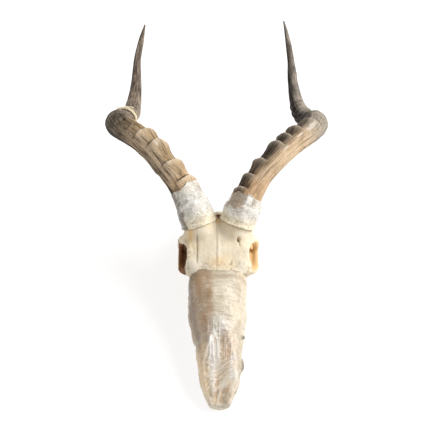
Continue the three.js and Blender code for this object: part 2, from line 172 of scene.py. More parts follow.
def window(low, high):
    """Slices of the lattice that hold a box, and the points' coordinates there."""
    lines = (half_x, all_y, all_z)
    part = tuple(slice(*np.searchsorted(line, pair)) for line, pair in zip(lines, zip(low, high)))
    return part, np.meshgrid(*(line[cut] for line, cut in zip(lines, part)), indexing="ij")


def join(low, high, shape, blend=4.0, cut=False):
    """Adds a shape to the bone inside a box, or cuts it away. shape gives its field."""
    margin = blend + 6
    part, (x, y, z) = window(np.subtract(low, margin), np.add(high, margin))
    made = shape(x, y, z)
    field[part] = -melt(-field[part], made, blend) if cut else melt(field[part], made, blend)


def body(sections, blend):
    """A body carried through cross-sections: the distance is that of a squared ellipse,
    whose half width, middle and half height change along the skull."""
    rows = between(sections, np.linspace(0, 1, 300))
    low = [0, rows[0, 0], rows[:, 3].min()]
    high = [rows[:, 1].max() * 1.3, rows[-1, 0], rows[:, 2].max()]

    def shape(x, y, z):
        half, top, bottom, lean = (np.interp(y, rows[:, 0], rows[:, i]) for i in range(1, 5))
        tall = (top - bottom) / 2
        up = (z - (top + bottom) / 2) / tall
        across = x / (half * (1 - lean * np.clip(up, -1, 1)))
        squared = (np.abs(across) ** 2.5 + np.abs(up) ** 2.5) ** 0.4
        sides = (squared - 1) * np.minimum(half, tall)
        ends = np.maximum(rows[0, 0] - y, y - rows[-1, 0])
        return -melt(-sides, -ends, 4)

    join(low, high, shape, blend)


def ball(place, blend=3.0, cut=False):
    """An ellipsoid. The distance is worked out from how far a point is in half sizes."""
    (cx, cy, cz), half, pitch = place
    turn = math.radians(pitch)
    reach = [half[0], *[max(half[1:])] * 2] if pitch else half
    low, high = np.subtract((cx, cy, cz), reach), np.add((cx, cy, cz), reach)

    def shape(x, y, z):
        along = (y - cy) * math.cos(turn) + (z - cz) * math.sin(turn)
        up = (z - cz) * math.cos(turn) - (y - cy) * math.sin(turn)
        scaled = np.sqrt(((x - cx) / half[0]) ** 2 + (along / half[1]) ** 2 + (up / half[2]) ** 2)
        steep = np.sqrt(((x - cx) / half[0] ** 2) ** 2 + (along / half[1] ** 2) ** 2
                        + (up / half[2] ** 2) ** 2)
        return scaled * (scaled - 1) / np.maximum(steep, 1e-6)

    join(low, high, shape, blend, cut)


def bar(stations, blend=4.0, cut=False, loop=False):
    """A round rod through stations: the nearest of short straight rods that taper."""
    count = 6 * len(stations)
    closed = stations + stations[:1] if loop else stations
    rows = between(closed, np.linspace(0, 1, count))
    low = (rows[:, :3] - rows[:, 3:]).min(axis=0)
    high = (rows[:, :3] + rows[:, 3:]).max(axis=0)

    def shape(x, y, z):
        nearest = np.full(x.shape, 1e3)
        for start, end in zip(rows[:-1], rows[1:]):
            step = end[:3] - start[:3]
            away = [x - start[0], y - start[1], z - start[2]]
            share = sum(a * s for a, s in zip(away, step)) / (step @ step)
            share = np.clip(share, 0, 1)
            gap = np.sqrt(sum((a - s * share) ** 2 for a, s in zip(away, step)))
            nearest = np.minimum(nearest, gap - start[3] - share * (end[3] - start[3]))
        return nearest

    join(low, high, shape, blend, cut)


def tooth(number):
    """A cheek tooth: a block with rounded corners, pinched between its two lobes, with a
    worn hollow in each."""
    share = number / (TEETH["per_side"] - 1)
    across = TEETH["front"] + share * (TEETH["rear"] - TEETH["front"])
    back = TEETH["first"] + number * TEETH["pitch"]
    half_wide, half_long = TEETH["width"] / 2, TEETH["length"] / 2

    def shape(x, y, z):
        lobe = np.cos(2 * math.pi * (y - back) / TEETH["length"])
        wide = half_wide * (0.86 - 0.14 * lobe)
        beside = np.abs(x - across) - wide + 1.2
        along = np.abs(y - back) - half_long + 1.4
        below = TEETH["bottom"] + 0.8 + 0.8 * lobe - z
        sides = np.hypot(np.maximum(beside, 0), np.maximum(along, 0)) - 1.2
        sides = sides + np.minimum(np.maximum(beside, along), 0)
        return np.maximum(np.maximum(sides, below), z - TEETH["top"])

    low = [across - half_wide, back - half_long, TEETH["bottom"]]
    high = [across + half_wide, back + half_long, TEETH["top"]]
    join(low, high, shape, 0.6)


body(MUZZLE, 1.0)
body(FRONTAL_PLATE, 5.0)
body(BRAINCASE, 6.0)
ball(CHEEK, 5.0)
ball(SOCKET, 2.5, cut=True)
bar(SOCKET_RIM, 3.0, loop=True)
for stations in BARS.values():
    bar(stations, 4.0)
ball(TEAR_BONE, 7.0)
for place in (NAPE_CREST, CONDYLE, EAR_BULLA):
    ball(place, 3.0)
for number in range(TEETH["per_side"]):
    tooth(number)
for place in (SPINAL_OPENING, NOSE_OPENING, PALATE_HOLLOW, BACK_OF_PALATE):
    ball(place, 1.5, cut=True)
ball(EAR_HOLE, 0.8, cut=True)


def horn_room(x, y, z):
    """The room kept for a horn: a cylinder along its axis from 0.8 below its sheath on."""
    along = np.array(HORN_SEAT["along"])
    away = [x - HORN_SEAT["at"][0], y - HORN_SEAT["at"][1], z - HORN_SEAT["at"][2]]
    high = sum(a * s for a, s in zip(away, along))
    beside = np.sqrt(sum((a - s * high) ** 2 for a, s in zip(away, along)))
    return np.maximum(beside - HORN_SEAT["radius"], -high - 0.8)


join([2, -30, 80], [58, 40, 119], horn_room, 0.5, cut=True)
part, (_, _, up) = window([-1, -240, -9], [99, 99, 130])
field = np.maximum(field, -up)
left_half = field[::-1].copy()
ball(BROW_HOLE, 0.8, cut=True)  # open on the right; on the left it is drawn out to a slit


def surface_points(field, corner, cell):
    """The closed surface where a field is zero, as points and quads: one point in each
    cell that it crosses, at the mean of its crossings on the cell's edges, and one quad
    across each crossed edge."""
    inside = field < 0
    cells = tuple(n - 1 for n in field.shape)
    total, count = np.zeros((*cells, 3)), np.zeros(cells)
    crossings = []
    for axis in range(3):
        start = tuple(slice(0, -1) if i == axis else slice(None) for i in range(3))
        end = tuple(slice(1, None) if i == axis else slice(None) for i in range(3))
        crossed = inside[start] != inside[end]
        where = np.argwhere(crossed)
        low, high = field[start][crossed], field[end][crossed]
        place = where.astype(float)
        place[:, axis] += low / (low - high)
        others = [i for i in range(3) if i != axis]
        for da in (-1, 0):
            for db in (-1, 0):
                cell_at = where.copy()
                cell_at[:, others[0]] += da
                cell_at[:, others[1]] += db
                fits = np.all((cell_at >= 0) & (cell_at < cells), axis=1)
                at = tuple(cell_at[fits].T)
                np.add.at(total, at, place[fits])
                np.add.at(count, at, 1)
        crossings.append((axis, others, where, inside[start][crossed]))
    number = np.full(cells, -1)
    used = count > 0
    number[used] = np.arange(used.sum())
    points = corner + cell * total[used] / count[used][:, None]
    quads = []
    for axis, (a, b), where, leaving in crossings:
        ring = []
        for da, db in ((-1, -1), (0, -1), (0, 0), (-1, 0)):
            cell_at = where.copy()
            cell_at[:, a] += da
            cell_at[:, b] += db
            ring.append(number[tuple(np.clip(cell_at, 0, np.subtract(cells, 1)).T)])
        ring = np.stack(ring, axis=1)
        flip = leaving == (axis == 1)
        ring[flip] = ring[flip][:, ::-1]
        quads.append(ring)
    return points, np.vstack(quads)


def relax(points, quads, rounds, strength=0.5):
    """Moves each point part of the way to the mean of its neighbours, a few times."""
    ends = np.vstack([quads[:, [i, (i + 1) % 4]] for i in range(4)])
    degree = np.bincount(ends.ravel(), minlength=len(points))
    for _ in range(rounds):
        mean = np.zeros_like(points)
        for i in range(3):
            for here, there in (ends.T, ends.T[::-1]):
                mean[:, i] += np.bincount(here, points[there, i], len(points))
        points = points + strength * (mean / degree[:, None] - points)
    return points


def normals_of(points, quads):
    """The outward direction at each point: the mean of its faces' directions."""
    a, b, c, d = (points[quads[:, i]] for i in range(4))
    facing = np.cross(c - a, d - b)
    total = np.zeros_like(points)
    for corner in range(4):
        for i in range(3):
            total[:, i] += np.bincount(quads[:, corner], facing[:, i], len(points))
    return unit(total)


whole = np.concatenate([left_half, field], axis=0)
corner = np.array([-half_x[-1], all_y[0], all_z[0]])
points, quads = surface_points(whole, corner, CELL)
points = relax(points, quads, 3)


def zigzag(value, period):
    """A triangle wave from -1 to 1."""
    return 4 * np.abs((value / period) % 1 - 0.5) - 1


def new_object(name, data):
    """A new object in the scene."""
    made = bpy.data.objects.new(name, data)
    bpy.context.scene.collection.objects.link(made)
    return made


def add_piece(name, points, faces, material):
    """A smooth mesh object at the origin, from points in metres and arrays of faces."""
    mesh = bpy.data.meshes.new(name)
    mesh.from_pydata(points.tolist(), [], [face for part in faces for face in part.tolist()])
    mesh.materials.append(material)
    mesh.polygons.foreach_set("use_smooth", np.full(len(mesh.polygons), True))
    mesh.update()
    return new_object(name, mesh)


def store(piece, name, values):
    """Keeps one number or one vector for each point of a piece, for its material."""
    kind, socket = ("FLOAT", "value") if values.ndim == 1 else ("FLOAT_VECTOR", "vector")
    made = piece.data.attributes.new(name, kind, "POINT")
    made.data.foreach_set(socket, values.astype(np.float32).ravel())


def linear(colour):
    """An sRGB hex colour as linear red, green, blue and alpha 1."""
    parts = [int(colour[i : i + 2], 16) / 255 for i in (0, 2, 4)]
    return [p / 12.92 if p <= 0.04045 else ((p + 0.055) / 1.055) ** 2.4 for p in parts] + [1]


def add(tree, kind, sockets=(), out=0, **settings):
    """Adds a node and gives one of its outputs. Settings are its properties, and sockets
    pairs an input with a value, a colour or another node's output."""
    made = tree.nodes.new("ShaderNode" + kind)
    for name, value in settings.items():
        setattr(made, name, value)
    for socket, value in dict(sockets).items():
        if isinstance(value, bpy.types.NodeSocket):
            tree.links.new(value, made.inputs[socket])
        else:
            made.inputs[socket].default_value = linear(value) if isinstance(value, str) else value
    return made.outputs[out]


def start_material(name):
    """A new material, its node tree and the inputs of its Principled shader."""
    material = bpy.data.materials.new(name)
    material.use_nodes = True
    tree = material.node_tree
    return material, tree, tree.nodes["Principled BSDF"].inputs


def lay_colours(tree, colour, layers):
    """Lays colours over each other like coats of stain. Each layer says what it follows,
    the values at which it starts and is full, how much it covers, and its colour."""
    for value, start, full, most, over in layers:
        share = add(tree, "MapRange", {0: value, 1: start, 2: full, 4: most})
        colour = add(tree, "Mix", {0: share, 6: colour, 7: over}, data_type="RGBA", out=2)
    return colour


# Relief of the bone: seams, slits and pits go in, and ridges, grain and lumps come out.
facing = normals_of(points, quads)
x, y, z = points.T
aside = np.abs(x)
wander = 0.9 * noise(points, 6, 11)
upward = smooth(facing[:, 2], 0.15, 0.5)
relief = 0.45 * rough(points, 15, 21) + 0.16 * rough(points, (3, 3, 3), 27, 2)
stain = np.zeros(len(points))


def groove(distance, width, depth, where):
    """Cuts a groove where a distance is near zero, and stains it."""
    global relief, stain
    inside = bell(distance / width) * where
    relief = relief - depth * inside
    stain = np.maximum(stain, inside)


# Along the middle of the forehead and nose: a low ridge with the seam on it
relief = relief + 0.8 * bell((x - 0.3) / 1.5) * upward * smooth(y, -64, -50)
groove(x + 2 + 0.3 * zigzag(y, 3.4) + 0.4 * wander, 0.5, 0.5, 0.55 * upward * smooth(z, 20, 30))
# Between forehead and nose bones: a crooked seam in the shape of a W
nasal_edge = -57 - 6 * np.abs(zigzag(x + 11, 22)) + 1.6 * zigzag(x, 4.6) + wander
groove(y - nasal_edge, 1.0, 0.6, 0.5 * upward * (1 - smooth(aside, 26, 32)))
groove(x - 17.5 - 0.3 * (y + 57), 0.7, 0.9, upward * band(y, -62, -60, -55, -53))
# Nose bones' outer edges, and the seams across the cheek and in front of it
groove(aside - 15 - 0.03 * (y + 150) + wander, 0.7, 0.5,
       upward * band(-y, 60, 66, 176, 190))
sideways = smooth(np.abs(facing[:, 0]), 0.35, 0.7)
groove(y + 70 - 0.5 * (z - 60) + 1.5 * zigzag(z, 5) + wander, 0.8, 0.5,
       sideways * band(z, 40, 46, 84, 90) * (y < -58))
groove(y + 172 - 0.9 * (z - 25) + zigzag(z, 4) + wander, 0.7, 0.5, sideways * (y < -120))
# Behind the horns: the crown seam, and the seam in front of the nape's crest
groove(y - 15 + 1.3 * zigzag(x, 5.2) + wander, 0.8, 0.6, smooth(z, 78, 86))
groove(y - 40 + 0.12 * aside + 1.2 * zigzag(x, 5) + wander, 0.8, 0.5,
       smooth(z, 58, 64) * smooth(facing[:, 2], 0, 0.3))
# Palate: the middle seam and the one that crosses it
downward = smooth(-facing[:, 2], 0.2, 0.6)
groove(x + 0.5 * zigzag(y, 4) + 0.4 * wander, 0.6, 0.5, downward * (y < -40) * (z > 8))
groove(y + 84 + zigzag(x, 5) + wander, 0.7, 0.5, downward * (aside < 14) * (z > 8))
# The brow groove runs forward from the brow hole, long on the left and short on the right.
groove(x + 29 + 0.4 * wander, 0.85, 1.3, upward * band(-y, 22, 26, 54, 60) * (x < 0))
groove(x - 27.5 - 0.25 * (-26 - y) + 0.3 * wander, 0.9, 0.8,
       upward * band(-y, 25, 28, 33, 37) * (x > 0))
# Between the horns, at the crown, there is a pit, which is painted dark as shade further on.
groove(x / 3, 1.0, 2.2, band(y, 3, 6, 15, 19) * smooth(z, 85, 92))

# The sockets: hollow is how far a point is from a socket's middle, in its half sizes. A
# rust-brown mark lines each one, the bone behind it and the left one's front corner: dried
# tissue, and on the left, at full strength, painted shade. It leaves the outer face of the
# left rim and the left brow bare.
hollow = np.sqrt(sum(
    ((along - middle) / half) ** 2
    for along, middle, half in zip((aside, y, z), SOCKET[0], SOCKET[1])
))
outward = facing[:, 0] * np.sign(x)
seen_from_side = smooth(outward, 0.5, 0.8) * smooth(aside, 49.5, 51.5)
behind = smooth(aside, 34, 37) * (1 - seen_from_side)
behind *= band(z, 18, 24, 78, 82) * band(y, -46, -42, 12, 18)
front_corner = (1 - smooth(hollow, 1.3, 1.5)) * smooth(-x, 43, 46) * smooth(z, 42, 47)
in_socket = np.maximum.reduce([1 - smooth(hollow, 1.02, 1.22), behind, front_corner])
left_rim, left_brow = smooth(-x, 54.8, 56.3), smooth(z, 74, 80) * smooth(-x, 42, 46)
in_socket = np.clip(in_socket * (1 - left_rim - left_brow * (left_rim == 0)), 0, 1)

# Bone is porous and lumpy round the sockets and under the horns.
rim = band(hollow, 1.05, 1.25, 1.35, 1.6)
relief = relief + rim * (0.9 * noise(points, 6.5, 41) + 0.5 * noise(points, 2.8, 42))
pores = smooth(noise(points, 1.9, 51), 0.45, 0.85) * smooth(noise(points, 14, 52), -0.1, 0.5)
relief = relief - 0.45 * pores * (0.35 + 0.65 * np.maximum(rim, smooth(z, 88, 98)))
in_nose = np.hypot(x / NOSE_OPENING[1][0], (z - 36) / 30)
in_nose = (1 - smooth(in_nose, 0.9, 1.25)) * (y < -150)

# Fat has yellowed the left brow's corner, the right socket, the forehead's front edge and
# the bone between the horns. Just behind it lies the pit, painted dark as shade.
between_horns = (1 - smooth(aside, 1, 4.5)) * smooth(z, 90, 95)
warm = np.maximum.reduce([
    bell(np.hypot((x + 38) / 5, (y + 21) / 8)) * smooth(z, 80, 86),
    in_socket * (x > 0),
    0.6 * bell(np.hypot(x / 13, (y + 56) / 7)) * (z > 70),
    between_horns * band(y, -9, -3, 2, 4),
])
# The pit between the horns, painted dark as shade with the sockets' rust-brown.
crown_pit_shade = (1 - smooth(aside, 2, 4)) * smooth(z, 85, 90) * band(y, 2, 4, 18, 21)
# The bone in front of the sockets is bleached whiter.
bleached = bell(np.hypot((aside - 33) / 9, (y + 59) / 9)) * smooth(z, 60, 75)

points = points + relief[:, None] * facing
points[:, 2] = np.maximum(points[:, 2], 0)


def dry_bone():
    """Cleaned and dried bone: a fine-grained matt cream, yellower where fat stayed in it,
    with brown in seams and pits. The sockets hold rust-brown dried tissue, and the same
    rust-brown is painted as shade in the left socket and in the hollow between the horns."""
    material, tree, surface = start_material("dry_bone")
    place = add(tree, "TexCoord", out="Object")
    # Clouds of colour whose lumps are about 38, 9, 1.6 and 0.7 mm across
    broad, middling, fine, finest = (
        add(tree, "TexNoise",
            {"Vector": place, "Scale": 1000 / size, "Detail": 5.0, "Roughness": 0.6})
        for size in (38, 9, 1.6, 0.7)
    )
    pore, stain, socket, nose, warm, bleached = (
        add(tree, "Attribute", attribute_name=name, out="Fac")
        for name in ("pore", "stain", "socket", "nose", "warm", "bleached")
    )
    mottle = add(tree, "MapRange", {0: middling, 1: 0.4, 2: 0.72})
    tissue = add(tree, "Mix", {0: mottle, 6: "562800", 7: "8f5208"}, data_type="RGBA", out=2)
    # The socket layer is dried tissue, and painted shade in the left socket and between the horns.
    layers = [
        (broad, 0.36, 0.72, 1.0, "dac69f"), (middling, 0.44, 0.78, 1.0, "ece2cf"),
        (bleached, 0.0, 1.0, 0.6, "f0e9dc"), (fine, 0.46, 0.8, 0.6, "cbb592"),
        (warm, 0.0, 1.0, 0.75, "e2b877"),
        (pore, 0.0, 1.0, 0.6, "946f45"), (stain, 0.0, 1.0, 0.7, "7d5930"),
        (nose, 0.0, 1.0, 0.8, "8a5f36"), (socket, 0.0, 1.0, 0.95, tissue),
    ]
    tree.links.new(lay_colours(tree, "e4d8c0", layers), surface["Base Color"])
    surface["Roughness"].default_value = 0.68
    surface["Specular IOR Level"].default_value = 0.3
    height = add(tree, "Math", {0: finest, 1: 0.5, 2: fine}, operation="MULTIPLY_ADD")
    bump = add(tree, "Bump", {"Height": height, "Strength": 0.4, "Distance": 0.0006})
    tree.links.new(bump, surface["Normal"])
    return material


skull = add_piece("skull_bone", in_frame(points), [quads], dry_bone())
# The left socket is painted at full strength, as shade, and the right one holds little
# tissue. The pit between the horns is painted with it as shade.
tissue = np.maximum(in_socket * np.where(x < 0, 1, 0.12), crown_pit_shade)
for label, values in (("stain", stain), ("pore", pores), ("socket", tissue),
                      ("bleached", bleached), ("nose", in_nose), ("warm", warm)):
    store(skull, label, values)
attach(skull, "root")
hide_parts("skull")

# ---- Horns --------------------------------------------------------------------------
# Two impala horns: sheaths of keratin that grew year by year over a core of bone, which
# gave them thick rings on the lower half and a smooth, grooved upper half. Each sits
# firmly on its core. Worn keratin is matt and fibrous, pale on edges and dark in cracks.

# Axis of each horn, foot to tip: across, back, up, radius of the sheath
LEFT_HORN = [
    [-24, -6, 95, 21.4], [-33, 12, 114, 21.2], [-45.5, 32, 131, 18.8], [-60, 49, 143, 17],
    [-76, 65, 152, 16.6], [-92, 84, 159, 16.6], [-114, 105, 162, 17], [-136, 127, 157, 17.5],
    [-145, 149, 144, 17.7], [-138, 170, 129, 15.2], [-129.5, 191, 120.5, 13],
    [-127, 210, 120, 11], [-125, 227, 125, 9.4], [-123.5, 245, 135, 7.6],
    [-121.5, 265, 159, 5.4], [-114.5, 279, 186, 3.9], [-108, 287, 209, 0.9],
]
RIGHT_HORN = [
    [24, -6, 95, 21.4], [33, 12, 114, 21.2], [44, 31, 130, 18.6], [57, 47, 142, 16.8],
    [73, 64, 152, 16.4], [91, 82, 158, 16.6], [112, 103, 160, 17], [132, 125, 156, 17.5],
    [140, 148, 143, 17.7], [133, 169, 128.5, 15], [125, 190, 119, 12.4],
    [119.5, 209, 119, 10.8], [116, 226, 124, 9.3], [113, 245, 135, 7.5],
    [109.5, 265, 159, 5.4], [104, 279, 186, 4], [97, 292, 212, 0.9],
]
SHEATH_FOOT = 8.0  # distance along the axis at which the sheath begins
FRONT = 0.75  # angle from the rings' middle to the front, on both horns
RINGS_END = 2.1  # angle from the rings' middle at which they have died out

# Growth rings: distance of each crest along the axis, and how far it stands out
LEFT_RINGS = [
    [38, 1.6], [66, 3.8], [94, 5], [127, 5.2], [149, 5.4], [166, 0.7], [186, 0.5], [204, 0.9],
    [221, 1.2], [237, 1.1], [252, 1], [266, 0.9], [279, 0.8], [291, 0.7], [302, 0.6],
]
RIGHT_RINGS = [
    [32, 1.6], [51, 3.4], [71, 4], [95, 4.2], [125, 4.6], [140, 4.8], [160, 3.8], [184, 1.3],
    [203, 1.3], [221, 1.2], [238, 1.8], [253, 2.0], [267, 2.0], [280, 1.8], [291, 1.3],
]


def travelled(path):
    """The distance along a path at each of its points."""
    return np.concatenate([[0], np.cumsum(np.linalg.norm(np.diff(path, axis=0), axis=1))])


def full_turn(around):
    """The angles of points spaced evenly round."""
    return 2 * np.pi * np.arange(around) / around


def horn_axis(stations, side):
    """Centre, direction, inner side, far side and radius at equal steps of distance along
    a horn. The inner side faces up and inwards, and the rings are thickest there."""
    share = np.linspace(0, 1, 1200)
    rows = between(stations, share)
    centre = rows[:, :3]
    along = unit(between(stations, share + 0.01)[:, :3] - between(stations, share - 0.01)[:, :3])
    inner = np.array([-0.5 * side, -0.05, 0.86])
    inner = unit(inner - along * np.sum(inner * along, axis=1, keepdims=True))
    across = np.cross(along, inner)
    distance = travelled(centre)
    table = np.hstack([centre, along, inner, across, rows[:, 3:]])
    return {"side": side, "distance": distance, "table": table, "length": distance[-1]}


def on_axis(axis, distance):
    """The axis's centre, direction, inner side, far side and radius at these distances."""
    columns = [np.interp(distance, axis["distance"], column) for column in axis["table"].T]
    found = np.stack(columns, axis=-1)
    return found[..., :3], found[..., 3:6], found[..., 6:9], found[..., 9:12], found[..., 12]


def ring_share(rings, distance):
    """Which ring comes next at a distance, and the share of the way to its crest."""
    rings = np.asarray(rings, float)
    following = np.searchsorted(rings[:, 0], distance)
    last = following >= len(rings)
    following = np.minimum(following, len(rings) - 1)
    start = np.where(following > 0, rings[following - 1, 0], SHEATH_FOOT)
    share = (distance - start) / (rings[following, 0] - start)
    return following, np.clip(np.where(last, 0, share), 0, 1), last


def ring_lift(rings, distance, angle):
    """How far the rings lift the surface: between two crests it rises slowly, dips just
    before the crest and then falls steeply, and it dies out round the back."""
    following, share, last = ring_share(rings, distance)
    rise = np.where(share < 0.9, (share / 0.9) ** 2.2, 1 - 0.15 * (share - 0.9) / 0.1)
    turned = np.abs(np.arctan2(np.sin(angle), np.cos(angle)))
    height = np.asarray(rings, float)[following, 1]
    return np.where(last, 0, height * rise * smooth(RINGS_END - turned, 0, 1.1))


def horn_surface(axis, rings, distance, angle, out=0.0):
    """Points on a horn: out from its axis by the sheath's radius, the rings' lift and out.
    The crests swing towards the tip on the horn's front."""
    grown = smooth(distance, SHEATH_FOOT, 60) * smooth(axis["length"] - distance, 30, 140)
    swing = 6 * grown * np.cos(angle - axis["side"] * FRONT)
    centre, _, inner, across, radius = on_axis(axis, distance + swing)
    reach = (radius + ring_lift(rings, distance, angle) + out)[..., None]
    return centre + reach * (inner * np.cos(angle)[..., None] + across * np.sin(angle)[..., None])


def unrolled(axis, distance, angle):
    """The radius, and the places of points as if the horn were straight, for patterns."""
    radius = on_axis(axis, distance)[4]
    return radius, np.stack([radius * np.cos(angle), radius * np.sin(angle), distance], axis=-1)


def tube_faces(rows, around, first=0):
    """Quads over a grid of rows by points round, row after row, closed round each row."""
    row, i = np.meshgrid(np.arange(rows - 1), np.arange(around), indexing="ij")
    j = (i + 1) % around
    corners = [row * around + i, row * around + j, (row + 1) * around + j, (row + 1) * around + i]
    return first + np.stack([c.ravel() for c in corners], axis=1)


def closed_tube_faces(rows, around, first=0):
    """The same with both ends closed by fans of triangles. The middle points of the first
    row and of the last one come after the grid."""
    middle = first + rows * around
    start, end = first + np.arange(around), middle - around + np.arange(around)
    return [
        tube_faces(rows, around, first),
        np.stack([np.roll(start, -1), start, np.full(around, middle)], axis=1),
        np.stack([end, np.roll(end, -1), np.full(around, middle + 1)], axis=1),
    ]


def keratin(name, body, outer, pale, dark, upper, foot, bend, streak):
    """Weathered horn keratin: long fibres that run up the horn, pale on worn lips, which are also
    painted pale as highlights, and nearly black in cracks, with painted shadow under the lips
    and painted shade on its dark side. Matt, with a faint sheen on the smooth part. streak is
    how strongly the fibres show."""
    material, tree, surface = start_material(name)
    straight = add(tree, "Attribute", attribute_name="straight", out="Vector")
    lip_wear_and_highlight, crack, scar, side, high, low, deep, turning = (
        add(tree, "Attribute", attribute_name=label, out="Fac")
        for label in ("lip_wear_and_highlight", "crack", "scar", "outer", "upper", "foot", "deep", "bend")
    )
    # Fibres about 1.5 mm wide and 30 mm long, grain in them, and patches of wear
    fibres, grain, patches = (
        add(tree, "TexNoise", {
            "Vector": add(tree, "Mapping", {"Vector": straight, "Scale": scale}),
            "Scale": 1.0, "Detail": 6.0, "Roughness": 0.66})
        for scale in ((620, 620, 30), (2300, 2300, 240), (70, 70, 42))
    )
    between_streaks = add(tree, "MapRange", {0: fibres, 1: 0.64, 2: 0.48, 3: 0.6, 4: 1.0})
    shadowed = add(tree, "Math", {0: deep, 1: between_streaks}, operation="MULTIPLY")
    # deep carries the dark side, partly painted shade, and the painted shadow behind the bend. The
    # lips are partly painted highlights, and crack also carries the painted shadow in the ring
    # steps.
    layers = [
        (side, 0.0, 1.0, 1.0, outer), (low, 0.0, 1.0, 0.8, foot), (high, 0.0, 1.0, 1.0, upper),
        (turning, 0.0, 1.0, 0.9, bend), (patches, 0.46, 0.68, 0.35, pale),
        (patches, 0.5, 0.3, 0.4, dark), (fibres, 0.5, 0.36, streak, dark),
        (fibres, 0.52, 0.66, 0.4 * streak, pale), (grain, 0.5, 0.7, 0.8 * streak, dark),
        (grain, 0.46, 0.32, 0.55 * streak, pale), (shadowed, 0.0, 1.0, 0.95, dark),
        (turning, 0.0, 1.0, 0.3, bend), (lip_wear_and_highlight, 0.0, 1.0, 0.75, pale),
        (scar, 0.0, 1.0, 0.55, "dcd3c6"), (crack, 0.0, 1.0, 0.92, dark),
    ]
    tree.links.new(lay_colours(tree, body, layers), surface["Base Color"])
    gloss = add(tree, "MapRange", {0: fibres, 1: 0.3, 2: 0.7, 3: 0.82, 4: 0.6})
    tree.links.new(gloss, surface["Roughness"])
    surface["Specular IOR Level"].default_value = 0.2
    height = add(tree, "Math", {0: grain, 1: 0.4, 2: fibres}, operation="MULTIPLY_ADD")
    bump = add(tree, "Bump", {"Height": height, "Strength": 0.6, "Distance": 0.001})
    tree.links.new(bump, surface["Normal"])
    return material


